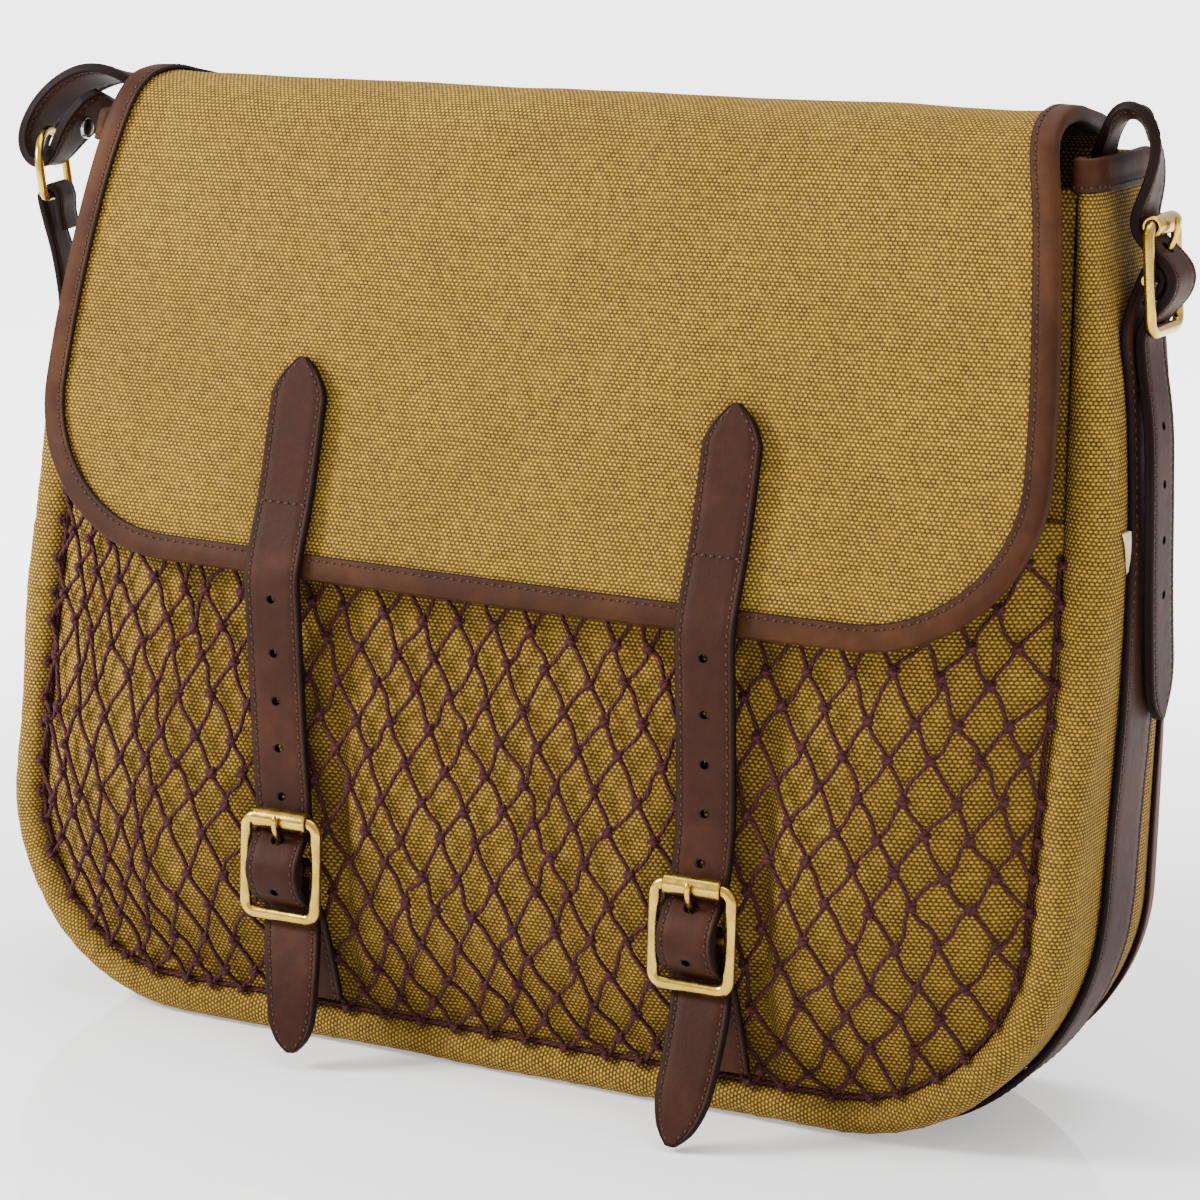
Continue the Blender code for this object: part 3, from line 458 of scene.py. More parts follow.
@dataclass(frozen=True)
class Tape:
    """Close-woven cotton tape."""

    name: str = "cotton_tape"
    pale: tuple = (0.66, 0.54, 0.34)
    deep: tuple = (0.50, 0.38, 0.21)
    rib_pitch: float = 0.5
    cross_pitch: float = 0.7
    stain_size: float = 5.0

    def material(self) -> Material:
        """The tape's material."""
        g = Graph(self.name)
        u, v = g.cloth_place()
        weave = g.times(g.rib(v, self.rib_pitch), g.rib(u, self.cross_pitch))
        stain = g.spread(g.noise(g.place(), self.stain_size), 0.3, 0.7)
        g.shade(Base_Color=g.mix(g.times(stain, 0.6), self.pale, self.deep), Roughness=0.85,
                Normal=g.bump(weave, 0.12, 0.8))
        return g.material


@dataclass(frozen=True)
class Gloss:
    """The pale studio floor, which glows though it is no lamp, with painted shade round the bag."""

    name: str = "studio_floor"
    colour: tuple = (0.90, 0.90, 0.90)
    # glow is the dim glow near the bag, painted shade there; far_glow is the painted glow over the
    # far floor
    glow: float = 0.40
    far_glow: float = 2.8
    near: float = 0.19
    far: float = 1.0
    specular: float = 0.85

    def material(self) -> Material:
        """The floor's material: it glows faintly within a ring round the bag and brightly beyond
        it, a painted shade round the bag and a painted glow over the far floor.
        """
        g = Graph(self.name)
        place = g.place()
        away = g.node("ShaderNodeVectorMath", {0: place}, operation="LENGTH").outputs["Value"]
        # painted light: the floor's emission rises with distance from the bag, so it is darker
        # round the bag as painted shade
        g.shade(Base_Color=self.colour, Specular_IOR_Level=self.specular,
                Roughness=g.spread(g.noise(place, 300.0), 0.3, 0.7, 0.03, 0.045),
                Emission_Color=(1.0, 1.0, 1.0),
                Emission_Strength=g.spread(away, self.near, self.far, self.glow, self.far_glow))
        return g.material


class Finishes:
    """The materials that the classes dress their pieces with."""

    def __init__(self) -> None:
        """Makes each material once."""
        self.duck = Duck().material()
        self.hide = Hide("strap_hide", (0.026, 0.0071, 0.0028), (0.050, 0.0160, 0.0064),
                         (0.006, 0.002, 0.0014)).material()
        self.edge_hide = Hide("binding_hide", (0.029, 0.0083, 0.0024), (0.058, 0.0200, 0.0058),
                              (0.009, 0.003, 0.0015), rough=0.6, edge_width=1.0).material()
        self.back_hide = Hide("back_hide", (0.070, 0.022, 0.007), (0.125, 0.048, 0.017),
                              (0.016, 0.005, 0.003)).material()
        self.twine = Twist("net_twine", (0.058, 0.0075, 0.0090), (0.010, 0.0015, 0.0019),
                           lay=3.4, plies=3).material()
        # the thread's stitches are painted dark at their ends, as shade in the holes
        self.thread = Twist("sewing_thread", (0.070, 0.029, 0.015), (0.026, 0.010, 0.005),
                            lay=0.9, plies=2, stitch=1.8).material()
        self.brass = Metal("satin_brass", (0.52, 0.335, 0.056), (0.37, 0.230, 0.036),
                           0.23).material()
        self.dark_metal = Metal("stud_metal", (0.06, 0.055, 0.05), (0.03, 0.028, 0.026),
                                0.33).material()
        self.steel = Metal("bright_steel", (0.42, 0.41, 0.40), (0.26, 0.255, 0.25),
                           0.24).material()
        self.tape = Tape().material()


# ---- Mesh helpers


def made_mesh(name: str, bm: BMesh) -> Mesh:
    """A mesh from a bmesh, which is used up.

    Args:
        name: the mesh's name.
        bm: the shape.

    Returns:
        The mesh.
    """
    mesh = bpy.data.meshes.new(name)
    bm.to_mesh(mesh)
    bm.free()
    return mesh


def stood(name: str, data: bpy.types.ID) -> Object:
    """A new object in the scene."""
    made = bpy.data.objects.new(name, data)
    bpy.context.scene.collection.objects.link(made)
    return made


def grid_mesh(rows: Sequence[Sequence[Vector]], uvs: Sequence[Sequence[Point2]] | None = None,
              edges: Sequence[Sequence[float]] | None = None, ring: bool = False,
              loop: bool = False) -> BMesh:
    """Lays a grid over rows of points.

    Args:
        rows: points in millimetres, row by row.
        uvs: millimetres across and along the cloth at each point.
        edges: millimetres in from the nearest cut edge at each point.
        ring: whether each row closes on itself, with its last point on its first.
        loop: whether the last row lies on the first.

    Returns:
        The mesh, still in millimetres.
    """
    across = len(rows[0])
    bm = bmesh.new()
    bmesh.ops.create_grid(bm, x_segments=across - 1, y_segments=len(rows) - 1, size=1.0)
    weave = bm.loops.layers.uv.new(UV_NAME)
    cut = bm.verts.layers.float.new(EDGE_NAME)
    bm.verts.ensure_lookup_table()
    for index, vert in enumerate(bm.verts):
        vert.co = rows[index // across][index % across]
        vert[cut] = edges[index // across][index % across] if edges else FAR_INSIDE
    if uvs:
        bm.verts.index_update()
        for face in bm.faces:
            for corner in face.loops:
                u, v = uvs[corner.vert.index // across][corner.vert.index % across]
                corner[weave].uv = (u * MM, v * MM)
    if ring or loop:
        bmesh.ops.remove_doubles(bm, verts=bm.verts, dist=ONE_POINT)
    if ring and not loop:
        ends = [edge for edge in bm.edges if edge.is_boundary]
        bmesh.ops.holes_fill(bm, edges=ends, sides=0)
    bmesh.ops.recalc_face_normals(bm, faces=bm.faces)
    return bm


def face_towards(bm: BMesh, way: Vector) -> None:
    """Turns an open sheet's faces so that most look the given way."""
    bm.normal_update()
    if sum(face.normal.dot(way) * face.calc_area() for face in bm.faces) < 0:
        bmesh.ops.reverse_faces(bm, faces=bm.faces)


def add_piece(name: str, bm: BMesh, material: Material,
              stands_for: Sequence[str] = (), sharp: float = 50.0) -> Object:
    """Makes a mesh a piece of the bag.

    Args:
        name: the piece's name.
        bm: its mesh in millimetres, which is used up.
        material: its finish.
        stands_for: the CAD nodes that it replaces.
        sharp: the angle in degrees past which an edge stays sharp.

    Returns:
        The piece.
    """
    bmesh.ops.scale(bm, vec=Vector((MM, MM, MM)), verts=bm.verts)
    mesh = made_mesh(name, bm)
    mesh.shade_smooth()
    mesh.set_sharp_from_angle(angle=math.radians(sharp))
    mesh.materials.append(material)
    piece = stood(name, mesh)
    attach(piece, "root")
    if stands_for:
        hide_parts(*stands_for)
    LOG.info("%s: %d faces", name, len(mesh.polygons))
    return piece


def wall(piece: Object, thick: float) -> None:
    """Gives a sheet its thickness, inwards from its outer face.

    Args:
        piece: the sheet.
        thick: its thickness in millimetres.
    """
    made = piece.modifiers.new("wall", "SOLIDIFY")
    made.thickness = thick * MM
    made.offset = -1.0
    made.use_even_offset = True


def smooth_rows(rows: Sequence[Row], step: float) -> list[tuple[float, ...]]:
    """Rows at about one step apart on a smooth curve through the given rows.

    Args:
        rows: x, y, z and any other columns.
        step: the spacing in millimetres.

    Returns:
        The rows, other columns carried smoothly too.
    """
    first = tuple(2 * a - b for a, b in zip(rows[0], rows[1]))
    last = tuple(2 * a - b for a, b in zip(rows[-1], rows[-2]))
    run = [first, *rows, last]
    path = []
    for a, b, c, d in zip(run, run[1:], run[2:], run[3:]):
        count = max(1, round((Vector(c[:3]) - Vector(b[:3])).length / step))
        for i in range(count):
            t = i / count
            path.append(tuple(0.5 * (2 * q + (r - p) * t + (2 * p - 5 * q + 4 * r - s) * t * t
                                     + (3 * q - p - 3 * r + s) * t ** 3)
                              for p, q, r, s in zip(a, b, c, d)))
    path.append(tuple(rows[-1]))
    return path


def directions(points: Sequence[Vector], loop: bool = False) -> list[Vector]:
    """The way that a run of points goes at each point.

    Args:
        points: the run.
        loop: whether its last point lies on its first.

    Returns:
        A direction for each point.
    """
    last = len(points) - 1
    result = []
    for i in range(len(points)):
        before = points[i - 1] if i else points[-2] if loop else points[0]
        after = points[i + 1] if i < last else points[1] if loop else points[-1]
        result.append((after - before).normalized())
    return result


def tube(points: Sequence[Vector], radius: float | Sequence[float], sides: int = 10,
         loop: bool = False, flat: float = 1.0, level: Vector | None = None) -> BMesh:
    """A round bar along a path.

    Args:
        points: the path; a loop's last point lies on its first.
        radius: one radius, or one for each point.
        sides: faces round it.
        loop: whether the path closes.
        flat: its thickness square to the level as a share of its width.
        level: the normal of the plane that it lies in, if it is flattened.

    Returns:
        The closed mesh.
    """
    radii = [radius] * len(points) if isinstance(radius, (int, float)) else list(radius)
    ways = directions(points, loop)
    side = level or ways[0].orthogonal()
    rows, uvs, along = [], [], 0.0
    for i, (point, way, r) in enumerate(zip(points, ways, radii)):
        if i:
            along += (point - points[i - 1]).length
        side = (side - way * side.dot(way)).normalized()
        other = way.cross(side)
        rows.append([])
        uvs.append([])
        for j in range(sides + 1):
            angle = 2 * math.pi * j / sides
            rows[-1].append(point + side * (r * flat * math.cos(angle))
                            + other * (r * math.sin(angle)))
            uvs[-1].append((j / sides / MM, along))
    return grid_mesh(rows, uvs, ring=True, loop=loop)


def turned(profile: Sequence[Point2], centre: Vector, axis: Vector,
           steps: int = 28) -> BMesh:
    """A solid turned about an axis.

    Args:
        profile: a closed outline of places along the axis and out from it; or an open one that
            starts and ends on the axis.
        centre: where the axis starts.
        axis: its direction.
        steps: faces round it.

    Returns:
        The closed mesh.
    """
    bm = bmesh.new()
    bm.verts.layers.float.new(EDGE_NAME)
    bm.loops.layers.uv.new(UV_NAME)
    side = axis.orthogonal().normalized()
    verts = [bm.verts.new(centre + axis * along + side * out) for along, out in profile]
    edges = [bm.edges.new(pair) for pair in zip(verts, verts[1:])]
    if profile[0][1] > 0.01:
        edges.append(bm.edges.new((verts[-1], verts[0])))
    bmesh.ops.spin(bm, geom=verts + edges, cent=centre, axis=axis, angle=2 * math.pi, steps=steps,
                   use_merge=True)
    bmesh.ops.remove_doubles(bm, verts=bm.verts, dist=ONE_POINT)
    bmesh.ops.recalc_face_normals(bm, faces=bm.faces)
    return bm


def soft_bead(around: int, along: int, pitch: float) -> Mesh:
    """A ball of radius 1 with thread running round it, to be copied.

    Args:
        around: its faces round.
        along: its faces from pole to pole.
        pitch: millimetres of thread along it.

    Returns:
        The ball's mesh.
    """
    bm = bmesh.new()
    bm.verts.layers.float.new(EDGE_NAME)
    weave = bm.loops.layers.uv.new(UV_NAME)
    turn = Matrix.Rotation(math.pi / 2, 4, "Y")
    bmesh.ops.create_uvsphere(bm, u_segments=around, v_segments=along, radius=1.0, matrix=turn)
    for face in bm.faces:
        for corner in face.loops:
            place = corner.vert.co
            corner[weave].uv = (math.atan2(place.z, place.y) / (2 * math.pi),
                                (place.x + 1) * pitch * MM)
    return made_mesh("bead", bm)


def placing(point: Vector, axes: Sequence[Vector], size: Vector) -> Matrix:
    """What scales a shape, turns it to three axes and moves it to a point."""
    turn = Matrix(axes).transposed().to_4x4()
    return Matrix.Translation(point) @ turn @ Matrix.Diagonal((*size, 1.0))


def copied(mesh: Mesh, matrix: Matrix) -> Mesh:
    """A moved copy of a mesh."""
    result = mesh.copy()
    result.transform(matrix)
    return result


def take(bm: BMesh, mesh: Mesh) -> None:
    """Adds a mesh to a bmesh, and uses it up."""
    bm.from_mesh(mesh)
    bpy.data.meshes.remove(mesh)


def gathered(parts: list[Mesh], batch: int = 24) -> BMesh:
    """Joins many meshes, a batch at a time, and uses them up.

    Args:
        parts: the meshes.
        batch: how many are joined at a time.

    Returns:
        The joined mesh.
    """
    while len(parts) > 1:
        joined = []
        for start in range(0, len(parts), batch):
            bm = bmesh.new()
            for part in parts[start:start + batch]:
                take(bm, part)
            joined.append(made_mesh("gathered", bm))
        parts = joined
    bm = bmesh.new()
    take(bm, parts[0])
    return bm


@dataclass
class Stitches:
    """A run of sewing, each stitch a small sunk bead of thread."""

    pitch: float = 3.2
    long: float = 2.6
    thick: float = 0.5
    flat: float = 0.8
    places: list[tuple[Vector, Vector, Vector]] = field(default_factory=list)

    def run(self, points: Sequence[Vector], normals: Sequence[Vector]) -> None:
        """Adds stitches at an even pitch along a line on a surface.

        Args:
            points: the line.
            normals: the surface's outward direction at each point.
        """
        gone, next_one = 0.0, self.pitch / 2
        for a, b, normal in zip(points, points[1:], normals):
            length = (b - a).length
            while next_one <= gone + length and length > 0:
                share = (next_one - gone) / length
                self.places.append((a.lerp(b, share), (b - a).normalized(),
                                    normal.normalized()))
                next_one += self.pitch
            gone += length

    def piece(self, name: str, material: Material) -> Object:
        """All the stitches as one piece.

        Args:
            name: the piece's name.
            material: the thread.

        Returns:
            The piece.
        """
        bead = soft_bead(6, 4, 0.9)
        size = Vector((self.long / 2, self.thick, self.thick * self.flat))
        parts = []
        for point, way, normal in self.places:
            side = normal.cross(way).normalized()
            parts.append(copied(bead, placing(point, (way, side, way.cross(side)), size)))
        return add_piece(name, gathered(parts), material, sharp=80.0)


@dataclass
class Band:
    """A leather strap: a rounded band along a path, with a sewn groove near each edge."""

    rows: Sequence[Row]
    thick: float
    side_on: Vector
    width: float = 22.0
    step: float = 2.5
    corner: float = 0.9
    groove_in: float = 2.4
    layered: bool = True
    relaxed: int = 0
    least: float = 1.6
    groove_half: float = 0.9
    groove_deep: float = 0.32
    waist: float = 0.35
    sewn_half: float = 3.2
    sunk: float = 0.15

    def __post_init__(self) -> None:
        """Works out the path, the directions and the width at each station."""
        run = smooth_rows(self.rows, self.step)
        for _ in range(self.relaxed):
            inner = [tuple(0.25 * a + 0.5 * b + 0.25 * c for a, b, c in zip(*three))
                     for three in zip(run, run[1:], run[2:])]
            run = [run[0], *inner, run[-1]]
        self.points = [Vector(row[:3]) for row in run]
        self.halves = [min(max(row[5], self.least), self.width) / 2 for row in run]
        ways = directions(self.points)
        self.across, self.normals = [], []
        for way, row in zip(ways, run):
            turn, lean = math.radians(row[3]), math.radians(row[4])
            side = self.side_on.copy()
            if self.side_on.y:
                side = Vector((math.sin(turn) * math.cos(lean), math.cos(turn) * math.cos(lean),
                               -math.sin(lean)))
            normal = way.cross(side).normalized()
            self.normals.append(normal)
            self.across.append(normal.cross(way).normalized())

    def section(self) -> list[Point2]:
        """The closed section at full width: places across and out, in order round it."""
        half, rise, corner = self.width / 2, self.thick / 2, self.corner
        groove = half - self.groove_in
        face = [(half - corner, rise), (groove + self.groove_half, rise),
                (groove, rise - self.groove_deep), (groove - self.groove_half, rise),
                (half * 0.5, rise), (0.0, rise)]
        arc = [(half - corner + corner * math.sin(math.radians(t)),
                rise - corner + corner * math.cos(math.radians(t))) for t in (30, 60, 90)]
        right_top = face[::-1] + arc
        waist = [(half - self.waist, 0.0)] if self.layered else []
        right = right_top + waist + [(a, -n) for a, n in reversed(right_top)]
        left = [(-a, n) for a, n in reversed(right[1:-1])]
        return right + left + [right[0]]

    def mesh(self) -> BMesh:
        """The band's closed mesh."""
        section = self.section()
        rows, uvs, edges, along = [], [], [], 0.0
        pointed = self.halves[-1] < self.sewn_half
        before = self.points[0]
        for point, side, normal, half in zip(self.points, self.across, self.normals,
                                             self.halves):
            along += (point - before).length
            before = point
            share = 2 * half / self.width
            rows.append([point + side * (a * share) + normal * n for a, n in section])
            uvs.append([(a, along) for a, _ in section])
            tip = (self.points[-1] - point).length if pointed else FAR_INSIDE
            edges.append([min(half - abs(a) * share, tip) for a, _ in section])
        return grid_mesh(rows, uvs, edges, ring=True)

    def line(self, side: int, face: int) -> list[tuple[Vector, Vector]]:
        """The groove near one edge, where the strap is wide enough to be sewn.

        Args:
            side: 1 for the far edge, -1 for the near one.
            face: 1 for the outer face, -1 for the inner one.

        Returns:
            Points with their normals.
        """
        run = []
        for point, across, normal, half in zip(self.points, self.across, self.normals,
                                               self.halves):
            if half >= self.sewn_half:
                out = normal * face
                run.append((point + across * (side * (half - self.groove_in))
                            + out * (self.thick / 2 - self.sunk), out))
        return run

    def sew(self, stitches: Stitches, faces: Sequence[int] = (1,),
            keep: Callable[[Vector], bool] = lambda point: True) -> None:
        """Adds stitches down both edges.

        Args:
            stitches: what they are added to.
            faces: 1 for the outer face, -1 for the inner one.
            keep: tells whether a place on the strap is sewn.
        """
        for side in (-1, 1):
            for face in faces:
                for sewn, part in groupby(self.line(side, face), lambda at: keep(at[0])):
                    if sewn:
                        stitches.run(*zip(*part))

    def at_height(self, z: float) -> tuple[Vector, Vector, Vector]:
        """Where the band last comes down through a height: point, normal and across."""
        i = max(k for k, point in enumerate(self.points[:-1]) if point.z >= z)
        share = (self.points[i].z - z) / (self.points[i].z - self.points[i + 1].z)
        return self.points[i].lerp(self.points[i + 1], share), self.normals[i], self.across[i]

    def strip(self, name: str, material: Material, stands_for: Sequence[str] = (),
              holes: Sequence[tuple[float, float]] = ()) -> Object:
        """The band as a piece, with its holes punched.

        Args:
            name: the piece's name.
            material: its leather.
            stands_for: the CAD nodes that it replaces.
            holes: each hole's height and radius.

        Returns:
            The piece.
        """
        piece = add_piece(name, self.mesh(), material, stands_for)
        if holes:
            punch(piece, [(*self.at_height(z)[:2], radius) for z, radius in holes])
        return piece


def punch(piece: Object, holes: Sequence[tuple[Vector, Vector, float]],
          depth: float = 9.0) -> None:
    """Cuts round holes through a piece.

    Args:
        piece: what is cut.
        holes: each hole's centre, direction and radius in millimetres.
        depth: how long the punch is.
    """
    bm = bmesh.new()
    for centre, axis, radius in holes:
        turn = axis.to_track_quat("Z", "Y").to_matrix().to_4x4()
        bmesh.ops.create_cone(bm, cap_ends=True, segments=16, radius1=radius * MM,
                              radius2=radius * MM, depth=depth * MM,
                              matrix=Matrix.Translation(centre * MM) @ turn)
    cutter = stood("punch", made_mesh("punch", bm))
    made = piece.modifiers.new("punch", "BOOLEAN")
    made.operation = "DIFFERENCE"
    made.object = cutter
    view = bpy.context.evaluated_depsgraph_get()
    cut = bpy.data.meshes.new_from_object(piece.evaluated_get(view))
    piece.modifiers.remove(made)
    piece.data = cut
    cut.set_sharp_from_angle(angle=math.radians(50))
    bpy.data.objects.remove(cutter)


# ---- The bag's own lines


class BagShape:
    """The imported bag's lines, which each piece of cloth and leather follows."""

    seam_bottom = 14.0
    seam_radius = 66.0
    back_y = 45.5
    top = 331.0
    base_turn = 0.30
    side_turn = 0.54
    pinches = (-78.0, 88.0)
    pinch_wide = 17.0
    puff_across = 70.0
    puff_up = 46.0
    puff_power = 0.85
    tilt = 0.024
    tilt_from = 200.0
    tilt_over = 130.0
    outline = Table("z seam side back", (
        (0, 196.6, 210.6, 208), (100, 196.6, 211, 208.5), (160, 196.6, 213, 208),
        (200, 195, 212.5, 207), (245, 192.2, 208.5, 204), (285, 189.8, 202, 199),
        (331, 187, 194, 193)))
    depth = Table("z seam_y bulge pinch", (
        (0, -50, 0, .65), (14, -48.5, 0, .65), (25, -47, 7, .65), (40, -45, 15, .65),
        (60, -43, 20, .6), (85, -40.5, 23.3, .4), (111, -36.8, 24.5, .22), (130, -34, 25, .16),
        (170, -27.4, 24.5, .12), (200, -22.5, 21.5, .1), (270, -14.5, 0, 0), (331, -6, 0, 0)))
    lines = {"seam": (seam_radius, seam_bottom), "side": (80.0, 0.0), "back": (76.0, 3.2)}

    def half(self, line: str, z: float) -> float:
        """Half the width of the seam, side or back line at a height."""
        return self.outline.at(line, z)

    def seam_y(self, z: float) -> float:
        """How far back the front seam lies."""
        return self.depth.at("seam_y", z)

    def slanted(self, x: float, z: float) -> float:
        """The height at which the bag's slightly uneven top puts a point."""
        return z + self.tilt * x * held((z - self.tilt_from) / self.tilt_over)

    def around(self, line: str, share: float, top: float = top, inset: float = 0.0) -> Point2:
        """A point on a line round the sides and base.

        Args:
            line: seam, side or back.
            share: from -1 at the top left, round the base at 0, to 1 at the top right.
            top: the height where the line ends.
            inset: how far in from the line.

        Returns:
            The point across and up.
        """
        radius, bottom = self.lines[line]
        knee = bottom + radius
        centre = self.half(line, knee) - radius
        far, sign = abs(share), 1.0 if share >= 0 else -1.0
        if far < self.base_turn:
            return sign * centre * far / self.base_turn, bottom + inset
        if far < self.side_turn:
            angle = math.pi / 2 * (far - self.base_turn) / (self.side_turn - self.base_turn)
            return (sign * (centre + (radius - inset) * math.sin(angle)),
                    knee - (radius - inset) * math.cos(angle))
        z = knee + (top - knee) * (far - self.side_turn) / (1.0 - self.side_turn)
        return sign * (self.half(line, z) - inset), z

    def seam_foot(self, x: float, z: float) -> tuple[float, float, float]:
        """The nearest point of the front seam, and how far in from it a point lies.

        Args:
            x: its place across.
            z: its height.

        Returns:
            The seam's place across and up, and the distance.
        """
        knee = self.seam_bottom + self.seam_radius
        half = self.half("seam", max(z, knee))
        centre = half - self.seam_radius
        if z < knee and abs(x) > centre:
            over, under = abs(x) - centre, knee - z
            far = max(math.hypot(over, under), 1e-6)
            reach = self.seam_radius / far
            return (math.copysign(centre + over * reach, x), knee - under * reach,
                    self.seam_radius - far)
        if z >= knee and half - abs(x) < z - self.seam_bottom:
            return math.copysign(half, x), z, half - abs(x)
        return x, self.seam_bottom, z - self.seam_bottom

    def pocket(self, x: float, z: float, pinched: float = 1.0) -> Vector:
        """The stuffed pocket's outer face, drawn in behind each strap.

        Args:
            x: its place across.
            z: its height.
            pinched: how much of the drawing in there is.

        Returns:
            The point.
        """
        knee = self.seam_bottom + self.seam_radius
        half = self.half("seam", max(z, knee))
        centre = half - self.seam_radius
        if z < knee:
            drop = min((knee - z) / self.seam_radius, 1.0)
            half = centre + self.seam_radius * math.sqrt(1 - drop * drop)
        out = held((abs(x) - centre) / self.seam_radius)
        bottom = self.seam_bottom + self.seam_radius * (1 - math.sqrt(1 - out * out))
        puffs = [math.sin(held(share) * math.pi / 2) ** self.puff_power
                 for share in ((half - abs(x)) / self.puff_across, (z - bottom) / self.puff_up)]
        near = max(bell(x - pinch, self.pinch_wide) for pinch in self.pinches)
        bulge = self.depth.at("bulge", z) * puffs[0] * puffs[1]
        bulge *= 1 - near * pinched * self.depth.at("pinch", z)
        return Vector((x, self.seam_y(z) - 1.0 - bulge, z))

    def pocket_normal(self, x: float, z: float) -> Vector:
        """The way that the pocket's face looks."""
        along = self.pocket(x + 2, z) - self.pocket(x - 2, z)
        up = self.pocket(x, z + 2) - self.pocket(x, z - 2)
        return along.cross(up).normalized()


def swell(rows: list[list[Vector]],
          height: Callable[[int, int, Vector], float]) -> list[list[Vector]]:
    """Moves the points of a sheet along its own normals.

    Args:
        rows: the sheet's points.
        height: how far out each point goes, from its row, column and place.

    Returns:
        The moved points.
    """
    result = []
    for i, row in enumerate(rows):
        result.append([])
        for j, point in enumerate(row):
            down = rows[min(i + 1, len(rows) - 1)][j] - rows[max(i - 1, 0)][j]
            along = row[min(j + 1, len(row) - 1)] - row[max(j - 1, 0)]
            result[-1].append(point + along.cross(down).normalized() * height(i, j, point))
    return result


def lengths(points: Sequence[Vector]) -> list[float]:
    """How far along a run of points each one is.

    Args:
        points: the run.

    Returns:
        A length for each point, from 0.
    """
    gone = [0.0]
    for a, b in zip(points, points[1:]):
        gone.append(gone[-1] + (b - a).length)
    return gone


def cut_cloth(across: Point2, up: Point2, step: float, outline: Sequence[Point2],
              place: Callable[[float, float], Vector],
              sliver: float = 0.3) -> BMesh:
    """Cuts a flat cloth to an outline and puts it in its place.

    Args:
        across: the flat cloth's first and last place across.
        up: its first and last place up.
        step: the spacing of its threads' grid.
        outline: the convex cut line, going round with the cloth on its left.
        place: where a flat point goes.
        sliver: the spacing under which the cut's points are merged.

    Returns:
        The open sheet in millimetres, with its flat places as its weave.
    """
    columns = round((across[1] - across[0]) / step)
    rows = round((up[1] - up[0]) / step)
    flat = [[Vector((across[0] + (across[1] - across[0]) * i / columns, 0.0,
                     up[0] + (up[1] - up[0]) * j / rows)) for i in range(columns + 1)]
            for j in range(rows + 1)]
    bm = grid_mesh(flat, [[(point.x, point.z) for point in row] for row in flat])
    for (x0, z0), (x1, z1) in zip(outline, outline[1:]):
        outward = Vector((z1 - z0, 0.0, x0 - x1))
        if outward.length > 1e-6:
            bmesh.ops.bisect_plane(bm, geom=bm.verts[:] + bm.edges[:] + bm.faces[:],
                                   dist=ONE_POINT, plane_co=(x0, 0.0, z0), plane_no=outward,
                                   clear_outer=True)
    bmesh.ops.remove_doubles(bm, verts=bm.verts, dist=sliver)
    for vert in bm.verts:
        vert.co = place(vert.co.x, vert.co.z)
    return bm


def channel(points: Sequence[Vector], outs: Sequence[Vector], normals: Sequence[Vector],
            reach: float, cloth: float = 2.0, gap: float = 0.6,
            leather: float = 1.2) -> BMesh:
    """Leather folded over a sheet's edge.

    Args:
        points: the sheet's edge, on its outer face.
        outs: the way out past the edge, at each point.
        normals: the way that the sheet's outer face looks.
        reach: how far the leather laps onto the sheet.
        cloth: the sheet's thickness.
        gap: the space between the leather and the sheet.
        leather: the leather's thickness.

    Returns:
        The closed mesh.
    """
    under = -cloth - gap
    nose = [(gap + leather * math.cos(math.radians(a)),
             -cloth / 2 + (cloth / 2 + gap + leather) * math.sin(math.radians(a)))
            for a in range(-75, 76, 25)]
    face = gap + leather
    lap = [(-1.5, face), (-4.6, face + 0.1), (-5.4, face - 0.18), (-6.2, face),
           (-reach + 0.4, face), (-reach, face - 0.35)]
    section = ([(-reach, gap), (gap, gap), (gap, under), (-reach, under),
                (-reach, under - leather), (-3.0, under - leather)]
               + nose + lap + [(-reach, gap)])
    rows, uvs, edges = [], [], []
    for point, out, normal, along in zip(points, outs, normals, lengths(points)):
        rows.append([point + out * o + normal * n for o, n in section])
        uvs.append([(o + n, along) for o, n in section])
        edges.append([min(reach + o, 6.0) for o, n in section])
    return grid_mesh(rows, uvs, edges, ring=True)


# ---- The bag's pieces


